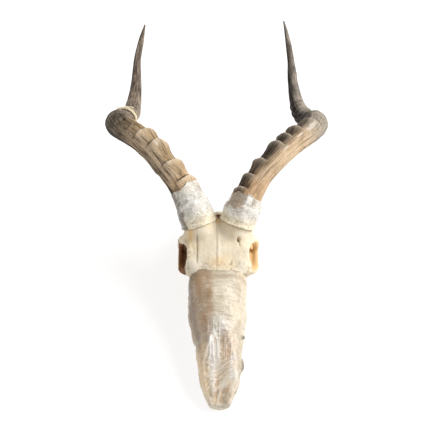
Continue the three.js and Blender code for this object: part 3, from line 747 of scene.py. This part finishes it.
def build_horn(name, axis, rings, fades, shaded, past_bend, corner, pits, scars, material, seed):
    """A horn sheath: the surface of distance and angle above, with wavy lips, long cracks
    and fibres, lumps, pits and scars worked into it. fades are the angles over which the
    thick rings are worn away, and shaded those over which it is painted dark, both towards
    the outer side: partly its own darker keratin and partly painted shade on the side turned
    from the key light. past_bend is added to the share of dark beyond the bend, and corner is
    how dark the painted shadow is where it turns up there, behind the bend."""
    rows, around = 640, 144
    start, end = SHEATH_FOOT, axis["length"] - 0.6
    step = np.linspace(0, 1, rows)
    # The rows lie closer together on the ringed half than towards the tip.
    spread = 0.75 * step + 0.25 * step**2
    distance, angle = np.meshgrid(start + (end - start) * spread, full_turn(around),
                                  indexing="ij")
    radius, straight = unrolled(axis, distance, angle)
    face = axis["side"] * np.arctan2(np.sin(angle), np.cos(angle))
    turned = face + 0.15 * noise(straight, 14, seed + 45)
    # The dark side: partly the keratin's own darker colour, partly painted shade on the side turned
    # from the key light.
    shade = (turned - shaded[0]) / (shaded[1] - shaded[0])
    shade = smooth(shade + past_bend * smooth(distance, 215, 245), 0, 1)
    ringed = 1 - smooth(distance, 165, 190)
    slim = np.clip(radius / 12, 0.1, 1)

    waved = distance + ringed * 1.5 * rough(straight, 11, seed) + 0.5 * noise(straight, 5, seed + 5)
    waved = np.clip(waved, SHEATH_FOOT, None)
    worn = 1 - smooth(turned, *fades) * (1 - smooth(distance, 170, 185))
    bare = smooth(distance, 34, 52)  # under the film it is plainer, so as not to pierce it
    lift = ring_lift(rings, waved, angle) * (1 + 0.22 * bare * noise(straight, 13, seed + 7)) * worn
    fibres = rough(straight, (2.4, 2.4, 34), seed + 11, 3)
    cracks = 1 - np.abs(noise(straight, (4.2, 4.2, 60), seed + 17)) * 7
    crack = np.clip(cracks, 0, 1) * smooth(noise(straight, (9, 9, 40), seed + 19), -0.1, 0.45)
    crack *= 0.25 + 0.75 * ringed
    lumps = rough(straight, 17, seed + 23, 3)
    coarse = np.maximum(worn, shade) * ringed
    relief = slim * (fibres * (0.2 + 0.4 * coarse) - (0.3 + 0.8 * coarse) * crack + 0.55 * lumps)
    # The bend is flattened where it turns up towards the tip.
    relief -= 4.8 * bell(np.hypot((distance - 235) / 12, (face - 1.5) / 0.5))
    scar = np.zeros_like(distance)
    for at, facing_at, wide, deep in pits:
        gone = np.hypot(distance - at, radius * (face - facing_at)) / wide
        relief -= deep * bell(gone) - 0.3 * deep * bell(2 * (gone - 1.5))
        crack = np.maximum(crack, np.exp(-(gone**2) * 1.5) * min(1.0, deep))
    for at, facing_at, half_long, half_wide in scars:
        gone = np.hypot((distance - at) / half_long, radius * (face - facing_at) / half_wide)
        gone += 0.35 * noise(straight, 2.5, seed + 31)
        scar = np.maximum(scar, 1 - smooth(gone, 0.6, 1.2))
    relief = (relief - 0.25 * scar) * (0.3 + 0.7 * bare)
    out = lift - ring_lift(rings, distance, angle)
    out += relief * smooth(axis["length"] - distance, 0, 6)

    points = horn_surface(axis, rings, distance, angle, out)
    foot, tip = points[0].mean(axis=0), points[-1].mean(axis=0)
    piece = add_piece(name, in_frame(np.vstack([points.reshape(-1, 3), foot, tip])),
                      closed_tube_faces(rows, around), material)

    # Each ring's crest is worn pale and also painted pale as a highlight, and painted shadow lies
    # in the step just past it.
    following, share, last = ring_share(rings, waved)
    crests, heights = np.asarray(rings, float).T
    reach = smooth(RINGS_END - np.abs(face), 0, 1.1) * worn
    lip_wear_and_highlight = np.where(last, 0, share**5) * reach * np.clip(heights[following] / 3.2, 0.15, 1)
    before = np.clip(heights[np.maximum(following - 1, 0)] / 1.7, 0.1, 1)
    gap = np.diff(crests, prepend=SHEATH_FOOT)[following]
    painted_step_shadow = bell(share * gap / 2.2) * reach * before * (following > 0) * ~last

    def keep(label, values):
        """Stores values for the grid of points, and zeros for the middles of its ends."""
        flat = values.reshape(rows * around, -1)
        store(piece, label, np.squeeze(np.vstack([flat, np.zeros((2, flat.shape[1]))])))

    keep("lip_wear_and_highlight", lip_wear_and_highlight * (1 - 0.8 * shade * smooth(distance, 200, 225)))
    # The crack mark holds the cracks and the painted shadow in the ring steps.
    keep("crack", np.clip(np.maximum(crack * (0.35 + 0.65 * coarse), painted_step_shadow), 0, 1))
    keep("scar", scar)
    keep("outer", smooth(face + 0.25 * noise(straight, 9, seed + 41), 0.1, 0.9)
         * (1 - smooth(np.abs(face), 2.3, 3.0)))
    keep("upper", smooth(distance, 172, 205))
    keep("foot", 1 - smooth(distance + 9 * noise(straight, 14, seed + 43), 45, 95))
    # The dark side, partly painted shade, is streaky between the foot and the bend, and even at
    # both.
    even = np.maximum.reduce([smooth(noise(straight, (4.5, 4.5, 60), seed + 47), -0.5, 0.3),
                              smooth(distance, 205, 230), 1 - smooth(distance, 62, 85)])
    # A painted shadow where the upper part turns up behind the bend, as dark as corner says.
    painted_bend_shadow = bell((distance - 214) / 24) * (1 - smooth(turned, -0.35, 0.2))
    keep("deep", np.maximum(shade * (0.4 + 0.6 * even), corner * painted_bend_shadow))
    keep("bend", bell((distance - 192) / 28) * smooth(turned, -0.5, 0.3)
         * (1 - 0.6 * smooth(distance, 222, 240)))
    keep("straight", straight / 1000)
    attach(piece, "root")
    return piece


left_axis = horn_axis(LEFT_HORN, -1)
right_axis = horn_axis(RIGHT_HORN, 1)

# Pits: distance, angle from the rings' middle towards the front, radius, depth
LEFT_PITS = [
    [181, 0.35, 2.4, 2.2], [170, 0.9, 1.8, 1.4], [188, 0.6, 1.6, 1.2], [163, 0.2, 1.3, 0.8],
    [174, 1.5, 2.0, 1.0], [152, 1.2, 1.5, 1.2], [193, 0.9, 1.5, 1.0], [160, 1.0, 1.4, 0.9],
]
RIGHT_PITS = [
    [168, 0.6, 1.4, 0.7], [177, 1.3, 1.5, 0.5], [150, 0.5, 1.1, 0.8], [53, 0.3, 3, 1.1],
]
# Scars where the surface has flaked pale: distance, angle, half length, half width
LEFT_SCARS = [[122, 0.3, 4, 1.5]]
RIGHT_SCARS = [[172, 0.75, 9, 4], [150, 0.7, 5, 1.7], [124, 0.75, 4.5, 1.6]]

worn_brown = keratin("worn_brown_keratin", body="a5875f", outer="c6ac8c", pale="e2cfb4",
                     dark="18110a", upper="75665a", foot="e2b98a", bend="362b1f", streak=0.8)
pale_tan = keratin("pale_tan_keratin", body="846c54", outer="ceb18d", pale="d8c8b2",
                   dark="120c08", upper="7a7168", foot="cba37a", bend="8f8578", streak=0.6)

# The left horn is painted dark on its outer side and the right one on its inner side:
# partly their own darker keratin, partly painted shade on the sides turned from the key light.
horn_left = build_horn("horn_sheath_left", left_axis, LEFT_RINGS, fades=(0.5, 1.4),
                       shaded=(1.3, 2.0), past_bend=0.15, corner=0.3, pits=LEFT_PITS,
                       scars=LEFT_SCARS, material=worn_brown, seed=100)
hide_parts("horn_left")
horn_right = build_horn("horn_sheath_right", right_axis, RIGHT_RINGS, fades=(-0.1, 0.6),
                        shaded=(0.72, -0.1), past_bend=-0.3, corner=1.0, pits=RIGHT_PITS,
                        scars=RIGHT_SCARS, material=pale_tan, seed=200)
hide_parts("horn_right")

# ---- Film round the horns' feet -----------------------------------------------------
# Cling film wound tightly round the foot of each horn, a few turns over each other, to
# hold the sheath on its core. It is thin, clear polyethylene; stretched and crumpled it
# turns milky, with small creases whose brightness is painted partly as highlights, and the
# horn shows through it in brown.

# Loose flaps on the right wrap: distance, angle, height, half length, half angle
RIGHT_TABS = [[39, 0.9, 1.4, 5, 0.24], [38, 2.25, 3.2, 9, 0.12]]


def ridges(points, size, seed, sharpness=3.5):
    """Creases: 1 along the lines where noise changes sign, falling off on both sides."""
    return np.clip(1 - sharpness * np.abs(noise(points, size, seed)), 0, 1)


def wavy_edge(turn, radius, size, seed):
    """Random values that change smoothly round a torn edge and meet where it closes."""
    rim = np.stack([radius * np.cos(turn), radius * np.sin(turn), 0 * turn], axis=-1)
    return rough(rim, size, seed, 3)


def cling_film(name, body, thin, least, most, under, yellow, grain, contrast):
    """Crumpled cling film: clear, but milky where it is creased or lies in several layers.
    It is glossy, so its creases catch the light, and they and its wrinkles are also painted
    white as highlights. Its flaps and sides turned from the light are painted dark as shade.
    least and most are how much it covers where it is clear and where it is milky, under is
    what shows in its clear spots, and yellow is its colour where it has aged. grain is how
    fine its wrinkles are in each direction, and contrast how much they show."""
    material, tree, surface = start_material(name)
    place = add(tree, "TexCoord", out="Object")
    crease, tint, aged, brown, rust, milky, dull = (
        add(tree, "Attribute", attribute_name=label, out="Fac")
        for label in ("crease", "tint", "aged", "brown", "rust", "milky", "dull")
    )
    # Layers of film in patches about 15 mm across, wrinkles of 3 mm, and flecks of 1 mm
    sheets, wrinkles, flecks = (
        add(tree, "TexNoise", {
            "Vector": add(tree, "Mapping", {"Vector": place, "Scale": scale}),
            "Scale": 1.0, "Detail": 5.0, "Roughness": 0.65, "Distortion": 0.6})
        for scale in ((65, 65, 65), grain, (950, 950, 950))
    )
    crackle = add(tree, "TexVoronoi", {"Vector": place, "Scale": 460.0},
                  feature="DISTANCE_TO_EDGE")
    specks = add(tree, "MapRange", {0: flecks, 1: 0.42, 2: 0.58})
    rusty = add(tree, "Mix", {0: specks, 6: "8c5e36", 7: "e0bd95"}, data_type="RGBA", out=2)
    # The white on the wrinkles and creases is whitened film and painted highlight, and the dark
    # grey-brown layer is painted shade.
    layers = [
        (sheets, 0.4, 0.66, 0.6, thin), (aged, 0.0, 1.0, 0.85, yellow),
        (brown, 0.0, 1.0, 0.85, "a67a4b"), (milky, 0.0, 1.0, 0.75, "d9d6d3"),
        (tint, 0.0, 1.0, 0.8, under), (rust, 0.0, 0.8, 0.72, rusty),
        (dull, 0.0, 1.0, 0.85, "5c4e3f"), (wrinkles, 0.54, 0.7, 0.7 * contrast, under),
        (flecks, 0.54, 0.7, 0.6 * contrast, under), (wrinkles, 0.44, 0.3, contrast, "fffdf8"),
        (crease, 0.1, 0.9, 0.75, "fffdf8"),
    ]
    tree.links.new(lay_colours(tree, body, layers), surface["Base Color"])
    # It covers less in its clear spots, and more where it is painted dark as shade and in its
    # creases.
    cover = add(tree, "MapRange", {0: wrinkles, 1: 0.64, 2: 0.46, 3: least, 4: most})
    for mark, change, clamped in ((tint, -0.55, False), (dull, 0.5, False), (crease, 0.6, True)):
        cover = add(tree, "Math", {0: mark, 1: change, 2: cover}, operation="MULTIPLY_ADD",
                    use_clamp=clamped)
    tree.links.new(cover, surface["Alpha"])
    surface["Roughness"].default_value = 0.24
    surface["IOR"].default_value = 1.5
    height = add(tree, "Math", {0: crackle, 1: 0.9, 2: wrinkles}, operation="MULTIPLY_ADD")
    bump = add(tree, "Bump", {"Height": height, "Strength": 0.55, "Distance": 0.0011})
    tree.links.new(bump, surface["Normal"])
    return material


def store_film(piece, plain, **marks):
    """Keeps the film's marks for its outer skin, and none on the plain points after it."""
    for label, values in marks.items():
        store(piece, label, np.concatenate([values.ravel(), np.zeros(plain)]))
    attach(piece, "root")


def build_wrap(name, axis, rings, top, clear_top, dark_side, tabs, material, seed):
    """Film round a horn's foot: the horn's own surface, further out, with windings that
    run round it, creases between them, and a torn upper edge. The inner skin is plainer.
    top is how far up the horn it ends, clear_top is how clear it is at its inner top, tabs
    are its loose flaps, and dark_side gives the angles over which it is painted dark as shade."""
    outer_rows, inner_rows, around = 150, 40, 180
    turn, start = full_turn(around), SHEATH_FOOT - 0.7
    end = top + 3.5 * wavy_edge(turn, 20, 14, seed)
    distance = start + (end - start) * np.linspace(0, 1, outer_rows)[:, None]
    angle = np.broadcast_to(turn, distance.shape)
    straight = unrolled(axis, distance, angle)[1]
    wound = straight.copy()
    wound[..., 2] += 5 * np.sin(angle + 0.6) + 3 * np.sin(2 * angle)
    windings = ridges(wound, (24, 24, 5), seed + 3, 4)
    windings *= smooth(noise(straight, 12, seed + 4), -0.5, 0.5)
    creases = ridges(straight, (9, 9, 7), seed + 5)
    creases *= smooth(noise(straight, 8, seed + 6), -0.4, 0.5)
    small = ridges(straight, (4.2, 4.2, 3.4), seed + 7)
    swell = rough(straight, 12, seed + 9, 2)
    # It is thickest a third of the way up, and its foot spreads on the bone.
    bulge = 1.9 * bell((distance - 19) / 15) + 1.8 * bell((distance - start) / 3)
    lift = 1.0 + bulge + 0.4 * swell + 0.45 * windings + 0.5 * creases + 0.3 * small
    face = axis["side"] * np.arctan2(np.sin(angle), np.cos(angle))
    loose = np.zeros_like(lift)
    for at, turned, high, half_long, half_turn in tabs:
        gone = (((distance - at) / half_long) ** 4 + ((face - turned) / half_turn) ** 4) ** 0.25
        loose = np.maximum(loose, high * (1 - smooth(gone, 0.5, 1)))
    points = horn_surface(axis, rings, distance, angle, np.maximum(lift, 0.8) + loose)
    inside = start + (end - start) * np.linspace(1, 0, inner_rows)[:, None]
    lining = horn_surface(axis, rings, inside, np.broadcast_to(turn, inside.shape), 0.55)
    # The lining's last row meets the skin's first one at the foot.
    rows = outer_rows + inner_rows
    here = np.arange(around)
    beside = np.roll(here, -1)
    last = (rows - 1) * around
    seam = np.stack([last + here, last + beside, beside, here], axis=1)
    everything = np.vstack([points.reshape(-1, 3), lining.reshape(-1, 3)])
    piece = add_piece(name, in_frame(everything), [tube_faces(rows, around), seam], material)

    near_top = smooth(distance, top - 16, top - 4)
    bare = clear_top * (1 - smooth(face, 0.2, 0.9)) * smooth(distance, 22, 32)
    clear = 0.5 * smooth(noise(straight, 8, seed + 13), -0.1, 0.6) * (0.3 + 0.7 * near_top)
    shine = noise(straight, 7, seed + 15) > 0.25
    crease = 0.45 * windings**2 + 0.5 * creases**2 + 0.4 * small**3 * shine + 0.6 * (loose > 0.4)
    # Painted shade on the side given by dark_side, and on the larger flaps.
    dark = smooth(face + 0.3 * noise(straight, 7, seed + 21), *dark_side)
    store_film(piece, inner_rows * around, crease=np.clip(crease, 0, 1),
               tint=np.maximum(clear, 0.9 * bare),
               rust=bare * smooth(rough(straight, 6, seed + 19, 2), -1.0, 0.1),
               dull=np.maximum(dark, 0.8 * smooth(loose, 1.6, 3)),
               milky=0.5 * smooth(distance, 14, 26) * (1 - near_top),
               aged=1 - smooth(distance + 5 * noise(straight, 9, seed + 17), 8, 30))
    return piece


wrap_film = cling_film("wound_cling_film", body="dcd6c8", thin="d6cdbd", least=0.65, most=0.97,
                       under="87694a", yellow="f6e6c3", grain=(330, 330, 330), contrast=0.31)
# On the left horn the film is painted dark as shade on the outer side; on the right one
# that painted shade lies only at the rear, and the film is clear at the inner top.
wrap_left = build_wrap("horn_wrap_left", left_axis, LEFT_RINGS, top=57, clear_top=0.0,
                       dark_side=(1.4, 1.7), tabs=[], material=wrap_film, seed=300)
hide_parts("horn_film_left")
wrap_right = build_wrap("horn_wrap_right", right_axis, RIGHT_RINGS, top=45, clear_top=1.0,
                        dark_side=(2.9, 3.1), tabs=RIGHT_TABS, material=wrap_film, seed=340)
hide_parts("horn_film_right")

# ---- Film over the snout ------------------------------------------------------------
# A bag of cling film drawn over the snout and shrunk on in many layers, from below the
# eye sockets to the tip of the nose. It is stretched in fine lines across the nose,
# sinks into the nose opening and is folded and crumpled at the tip.

# Cross-sections: [back, half width, top, bottom, lean, how far it sags aside]
SNOUT_FILM = [
    [-233, 7, 12, 2, 0, 1], [-229, 14, 18, -1, 0, 1.6], [-214, 20.6, 29, -4, 0.08, 1.6],
    [-194, 26.6, 40, -5, 0.12, 1.4], [-158, 29.6, 58.5, -6, 0.18, 0.6],
    [-126, 35, 70.5, -6, 0.22, -0.4], [-98, 38.8, 80, -6, 0.2, -0.8],
    [-66, 40.5, 89, -5, 0.16, -0.4],
]
# Loose flaps on the right side: back, angle round, height, half length, half angle
SNOUT_TABS = [
    [-143, 0.12, 4.8, 4, 0.13], [-178, 0.02, 4.6, 15, 0.12], [-214, 0.3, 2.0, 7, 0.2],
]
# Folds across the tip: where each starts on the left, its width, and how far it slants
TIP_FOLDS = [[-191, 0.7, 0.35], [-201, 0.9, 0.55], [-208, 0.7, 0.7], [-214, 0.9, 0.68]]


def film_sections(back, angle):
    """The bag's plain shape: squared ellipses that lean inwards and round off at the tip."""
    rows = between(SNOUT_FILM, np.linspace(0, 1, 700))
    half, top, bottom, lean, aside = (np.interp(back, rows[:, 0], rows[:, i]) for i in range(1, 6))
    closing = np.sqrt(1 - np.clip((-230 - back) / 3.02, 0, 1) ** 2)
    rear = smooth(back, -112, -72)  # there it is squarer, drawn over the cheeks
    squared = 0.8 - 0.28 * rear
    lean = lean * (1 - 0.8 * rear)
    side, height = (np.sign(share) * np.abs(share) ** squared
                    for share in (np.cos(angle), np.sin(angle)))
    up = (top + bottom) / 2 + (top - bottom) / 2 * height * closing
    return np.stack([aside + half * closing * side * (1 - lean * height), back, up], axis=-1)


def build_bag(name, material):
    """The bag: an outer skin with the film's large forms and creases in it, and a plainer
    lining inside it that has the large forms alone. They meet at the open rear edge."""
    rows, around, every = 330, 220, 5  # the lining has every fifth row of the skin
    turn = -full_turn(around)
    tip_back, rear_back = SNOUT_FILM[0][0], SNOUT_FILM[-1][0]
    step = np.linspace(0, 1, rows)[:, None]  # rows lie closer together at the tip
    back, angle = np.broadcast_arrays(tip_back + (rear_back - tip_back) * step**1.3, turn)
    points = film_sections(back, angle)
    beside = np.roll(points, -1, axis=1) - np.roll(points, 1, axis=1)
    facing = unit(np.cross(beside, np.gradient(points, axis=0)))
    x, y, z = np.moveaxis(points, -1, 0)
    upper = smooth(facing[..., 2], 0.1, 0.6)
    to_tip = smooth(-y, 120, 150)

    # Across the nose opening the film sinks between two ridges that part towards the tip.
    middle = x - 2
    wide = np.interp(-y, [136, 150, 182, 205, 222, 233], [4, 11, 21, 19, 15, 9])
    opening = smooth(-y, 138, 165) * upper
    hollow = opening * (1 - smooth(np.abs(middle) / wide, 0.15, 1.0))
    lips = opening * bell((np.abs(middle) - wide) / np.where(middle < 0, 1.3, 3.0))
    pinched = bell((y + 147) / 4) * smooth(-x, 20, 28)
    form = 0.6 * rough(points, 18, 410, 2) - 4.4 * hollow + 1.5 * lips - 2.4 * pinched
    # Towards its rear edge it comes down onto the bone.
    form -= (3.2 + 0.9 * band(np.abs(x), 8, 20, 22, 30)) * smooth(y, -106, -66) * upper

    # Crumples all over, lines stretched across the nose, slack on the left of it, and
    # streaks that run along it in front
    crumple = ridges(points, 9, 401) * smooth(noise(points, 14, 402), -0.5, 0.4)
    small = ridges(points, 4, 403) * smooth(noise(points, 9, 404), -0.3, 0.5)
    bent = points + 1.2 * noise(points, 12, 405)[..., None]
    stretch = ridges(bent, (40, 3.4, 60), 406, 2.5) * upper * (1 - to_tip) * smooth(x, -22, -6)
    slack = ridges(points, (14, 7, 14), 408, 3) * (1 - smooth(x, -22, -6)) * (1 - to_tip)
    streaks = ridges(points, (4.6, 34, 60), 407, 2.5) * upper
    streaks *= band(-y, 128, 142, 176, 192) * (1 - smooth(np.abs(x - 2), 14, 20))
    # At the tip the wrinkles fan out to the right.
    leaning = np.stack([bent[..., 0] - 0.4 * (bent[..., 1] + 215), bent[..., 1], z], axis=-1)
    fan = ridges(leaning, (4, 46, 60), 411, 2.6) * upper
    fan *= smooth(-y, 196, 206) * smooth(hollow, 0, 0.4)
    folds = np.zeros_like(x)
    for start, width, slant in TIP_FOLDS:
        away = (y - start) - slant * (x + 15) + 2 * noise(points, 10, 409)
        folds = np.maximum(folds, width * bell(away / width))
    folds *= upper * band(x, -19, -13, 15, 21)
    tabs = np.zeros_like(x)
    for at, turned, high, half_long, half_turn in SNOUT_TABS:
        gone = np.hypot((y - at) / half_long, np.angle(np.exp(1j * (angle - turned))) / half_turn)
        tabs = np.maximum(tabs, high * (1 - smooth(gone, 0.1, 1)))
    detail = (0.8 * crumple * (0.4 + 0.8 * to_tip) + 0.45 * small + 0.5 * stretch + 0.8 * slack
              + 0.8 * streaks + 1.1 * folds + 0.9 * fan)
    detail = detail * (1 - smooth(y, -72, -66)) + tabs

    # The torn rear edge waves, and both skins are cut off flat where the bag rests.
    edge = smooth(y, -92, -66) * (2.6 * wavy_edge(turn, 30, 15, 412) - 1.0)
    skin = points + (form + detail)[..., None] * facing
    lining = points + (form - 0.9 + 0.65 * smooth(y, -80, -67))[..., None] * facing
    for layer, floor_height in ((skin, 0.0), (lining, 0.8)):
        layer[..., 1] += edge
        layer[..., 2] = np.maximum(layer[..., 2], floor_height)
    lining = lining[::-1][::every]
    tip, inner_tip = skin[0].mean(axis=0), lining[-1].mean(axis=0) + [0, 0.6, 0]
    everything = np.vstack([skin.reshape(-1, 3), lining.reshape(-1, 3), tip, inner_tip])
    piece = add_piece(name, in_frame(everything), closed_tube_faces(rows + len(lining), around),
                      material)

    # Rust-brown dried tissue shows through it in the nose opening. On the left, where it lies
    # over the side of the nose turned from the light, it is painted brown as shade. Towards the
    # tip that side is golden.
    tissue = np.maximum(bell(np.hypot((x - 12 - 0.12 * (y + 165)) / 8.5, (y + 167) / 22)),
                        1.2 * bell(np.hypot((x - 4) / 13, (y + 215) / 17)))
    tissue *= upper * smooth(rough(leaning, (2.6, 11, 11), 421, 3), -0.9, 0.3) * (1 - 0.6 * fan)
    left_slope_shade = 1 - smooth(x + 2.5 * noise(points, 9, 423), -13, -3)
    left_slope_shade *= smooth(z, 8, 30) * (0.75 + 0.25 * noise(points, (9, 16, 9), 424))
    left_slope_shade *= 0.1 + 0.9 * smooth(y, -178, -135)
    golden = smooth(-x, 10, 15) * smooth(-y, 150, 165) * smooth(z, 8, 20)
    # It is milky behind the opening and on both sides of it.
    cloudy = upper * np.maximum.reduce([
        bell(np.hypot((x + 8) / 9, (y + 176) / 25)),
        bell(np.hypot((x - 3) / 15, (y + 146) / 16)),
        smooth(x, 13, 18) * smooth(-y, 160, 180)
        * smooth(noise(points, (5, 14, 9), 425), -0.2, 0.4),
    ])
    # It is painted dark as shade at its flaps, low on the left, and in shards on the right of the
    # tip.
    shards = smooth(noise(points, (3, 10, 6), 426), 0.2, 0.45) * smooth(x, 12, 16) * upper
    low_left = smooth(-facing[..., 0], 0.72, 0.95) * smooth(y, -200, -150) * smooth(z, 20, 40)
    dull = np.maximum.reduce([0.85 * smooth(tabs, 0.5, 2.5), 0.7 * low_left,
                              0.4 * shards * smooth(-y, 170, 195)])
    clear = np.maximum(0.3 * smooth(noise(points, 13, 422), 0.1, 0.7),
                       1.7 * smooth(y, -82, -68) * (1 - 0.8 * left_slope_shade))
    # The white creases, strongest on the streaks and folds, are whitened film and painted
    # highlights.
    crease = (0.3 * crumple**2 * (0.2 + 0.5 * to_tip) + 0.1 * small**2 + 0.14 * stretch**2
              + 0.16 * slack**2 + 0.8 * streaks**2 * (1 - 0.6 * np.clip(tissue, 0, 1))
              + 0.5 * folds + 0.25 * lips + 0.35 * fan**2)
    store_film(piece, len(lining) * around + 2, rust=tissue, aged=golden, brown=left_slope_shade,
               milky=cloudy, tint=clear, dull=dull,
               crease=np.clip(crease * (1 - smooth(y, -88, -76)), 0, 1))
    return piece


snout_film = cling_film("shrunk_cling_film", body="d8ccb7", thin="d1bfa1", least=0.8, most=1.0,
                        under="b99f7c", yellow="f1d2a3", grain=(70, 420, 230), contrast=0.3)
snout_wrap = build_bag("snout_wrap", snout_film)
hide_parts("snout_film")

# ---- Elastic tie --------------------------------------------------------------------
# A cream elastic cord tied round the left horn above its bend: two turns side by side
# with a knot and a loose end. It is rubber covered in cotton thread, slightly soiled.

TIE = {"along": 246, "slant": 6, "turns": 2, "turn_pitch": 4.8, "knot_angle": 5.0,
       "strand": 1.35, "knot_strand": 0.95, "tail_strand": 0.85, "knot_loop": 1.3, "twist": 5.5}


def strand_points(path, radius, twist):
    """A cord of three threads along a path: its radius swells three times round, and the
    swellings turn once in each twist of length. Gives rows of points and the threads."""
    along = unit(np.gradient(path, axis=0))
    up = unit(np.cross(along, [0.3, 0.1, 1.0]))
    beside = np.cross(along, up)
    turn = full_turn(18)[:, None]
    thread = 0.5 + 0.5 * np.cos(3 * (turn.T - 2 * np.pi * travelled(path)[:, None] / twist))
    reach = radius[:, None] * (0.8 + 0.2 * thread)
    offset = up[:, None] * np.cos(turn) + beside[:, None] * np.sin(turn)
    return path[:, None] + reach[..., None] * offset, thread


def build_tie(name, axis, rings, material):
    """The winding as one path of two turns, a knot of two small loops, a tail and a stub."""
    strand, knot_angle = TIE["strand"], TIE["knot_angle"]

    def place(angle, further, out):
        """A point over the horn on the slanting ring of the tie, and further along it."""
        slanted = TIE["along"] + TIE["slant"] * np.sin(angle)
        return horn_surface(axis, rings, slanted + further, angle, out)

    turned = np.linspace(0, TIE["turns"] * 2 * np.pi, 520)
    slack = 0.4 * np.sin(3 * turned + 1)
    wound = place(knot_angle + turned, TIE["turn_pitch"] * turned / (2 * np.pi) + slack,
                  strand + 0.3)
    seat = place(np.array([knot_angle]), TIE["turn_pitch"], 2.4)[0]
    _, along, inner, across, _ = on_axis(axis, np.array([float(TIE["along"])]))
    along, out = along[0], inner[0] * math.cos(knot_angle) + across[0] * math.sin(knot_angle)
    beside = np.cross(along, out)
    t = np.linspace(0, 2 * np.pi, 160)[:, None]
    loops = beside * (np.sin(t) + 0.8 * np.sin(2 * t)) + along * (np.cos(t) - 0.8 * np.cos(2 * t))
    knot = seat + TIE["knot_loop"] * loops - 0.8 * out * np.sin(3 * t)
    s = np.linspace(0, 1, 90)
    tail = place(knot_angle + 0.5 + 0.7 * s, TIE["turn_pitch"] + 2 + 9 * s, 2.0 + 3.0 * s * (1 - s))
    stub = place(knot_angle - 0.25 * s, TIE["turn_pitch"] - 3.5 * s, 2.0 + 0.4 * s)
    parts, threads, faces, first = [], [], [], 0
    for path, radius in ((wound, strand), (knot, TIE["knot_strand"]), (tail, TIE["tail_strand"]),
                         (stub, TIE["knot_strand"])):
        # Each end rounds off over six points.
        number = np.arange(len(path))
        rounded = np.sqrt(np.clip(np.minimum(number, number[::-1]) / 6 + 0.12, 0, 1))
        made, thread = strand_points(path, radius * rounded, TIE["twist"])
        faces += closed_tube_faces(*thread.shape, first)
        parts.append(np.vstack([made.reshape(-1, 3), path[:1], path[-1:]]))
        threads.append(np.concatenate([thread.ravel(), [0.5, 0.5]]))
        first += thread.size + 2
    piece = add_piece(name, in_frame(np.vstack(parts)), faces, material)
    store(piece, "thread", np.concatenate(threads))
    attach(piece, "root")
    return piece


def cotton_elastic():
    """Cream cotton thread over rubber: fuzzy and matt, browner between the threads."""
    material, tree, surface = start_material("cotton_elastic")
    place = add(tree, "TexCoord", out="Object")
    thread = add(tree, "Attribute", attribute_name="thread", out="Fac")
    soil, fuzz = (
        add(tree, "TexNoise", {"Vector": place, "Scale": scale, "Detail": 4.0, "Roughness": 0.65})
        for scale in (160.0, 1800.0)
    )
    layers = [
        (soil, 0.42, 0.7, 0.5, "c9ad76"), (fuzz, 0.5, 0.75, 0.4, "f4ebcd"),
        (thread, 0.5, 0.0, 0.6, "9c7c4e"),
    ]
    tree.links.new(lay_colours(tree, "f0e6c6", layers), surface["Base Color"])
    surface["Roughness"].default_value = 0.88
    surface["Sheen Weight"].default_value = 0.25
    bump = add(tree, "Bump", {"Height": fuzz, "Strength": 0.7, "Distance": 0.0005})
    tree.links.new(bump, surface["Normal"])
    return material


elastic_tie = build_tie("elastic_tie", left_axis, LEFT_RINGS, cotton_elastic())
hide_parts("horn_tie")

# ---- Stage --------------------------------------------------------------------------
# A matt white board under the skull that is partly lit from within, so that it reads as a
# bright studio floor. The key light stands on the right and the fill light on the left.

floor_half = 6.0
corners = [(i * floor_half, j * floor_half, 0) for i, j in ((-1, -1), (1, -1), (1, 1), (-1, 1))]
floor_mesh = bpy.data.meshes.new("floor")
floor_mesh.from_pydata(corners, [], [(0, 1, 2, 3)])
floor = new_object("floor", floor_mesh)
floor_material, _, floor_surface = start_material("pale_floor")
floor_surface["Base Color"].default_value = linear("aaa9a8")
floor_surface["Roughness"].default_value = 0.9
floor_surface["Emission Color"].default_value = linear("ffffff")
floor_surface["Emission Strength"].default_value = 0.72
floor_mesh.materials.append(floor_material)

# The camera looks down at the skull from in front of the snout. The elevation is in
# degrees, the lens in millimetres and the rest in metres.
CAMERA = {"elevation": 52, "distance": 1.25, "lens": 76.2, "aim": (-0.0006, -0.0297, 0.114),
          "shift_up": 0.0014}
elevation = math.radians(CAMERA["elevation"])
camera_up = Vector((0, math.sin(elevation), math.cos(elevation)))
camera_back = Vector((0, -math.cos(elevation), math.sin(elevation)))
camera_data = bpy.data.cameras.new("camera")
camera_data.lens = CAMERA["lens"]
camera = new_object("camera", camera_data)
camera.location = (Vector(CAMERA["aim"]) + CAMERA["shift_up"] * camera_up
                   + CAMERA["distance"] * camera_back)
camera.rotation_euler = (math.pi / 2 - elevation, 0, 0)
bpy.context.scene.camera = camera


def area_light(name, place, size, power, target=(0, 0, 0.08)):
    """A square soft box at a place, turned to face the target."""
    data = bpy.data.lights.new(name, "AREA")
    data.size = size
    data.energy = power
    light = new_object(name, data)
    light.location = place
    light.rotation_mode = "QUATERNION"
    light.rotation_quaternion = (Vector(place) - Vector(target)).to_track_quat("Z", "Y")


area_light("key", (1.5, 0.2, 1.35), 1.1, 43)
area_light("fill", (-1.2, -1.2, 1.6), 1.6, 4)
world = bpy.data.worlds.new("studio")
world.use_nodes = True
background = world.node_tree.nodes["Background"].inputs
background["Color"].default_value = linear("ffffff")
background["Strength"].default_value = 0.5
bpy.context.scene.world = world
bpy.context.scene.view_settings.view_transform = "Standard"
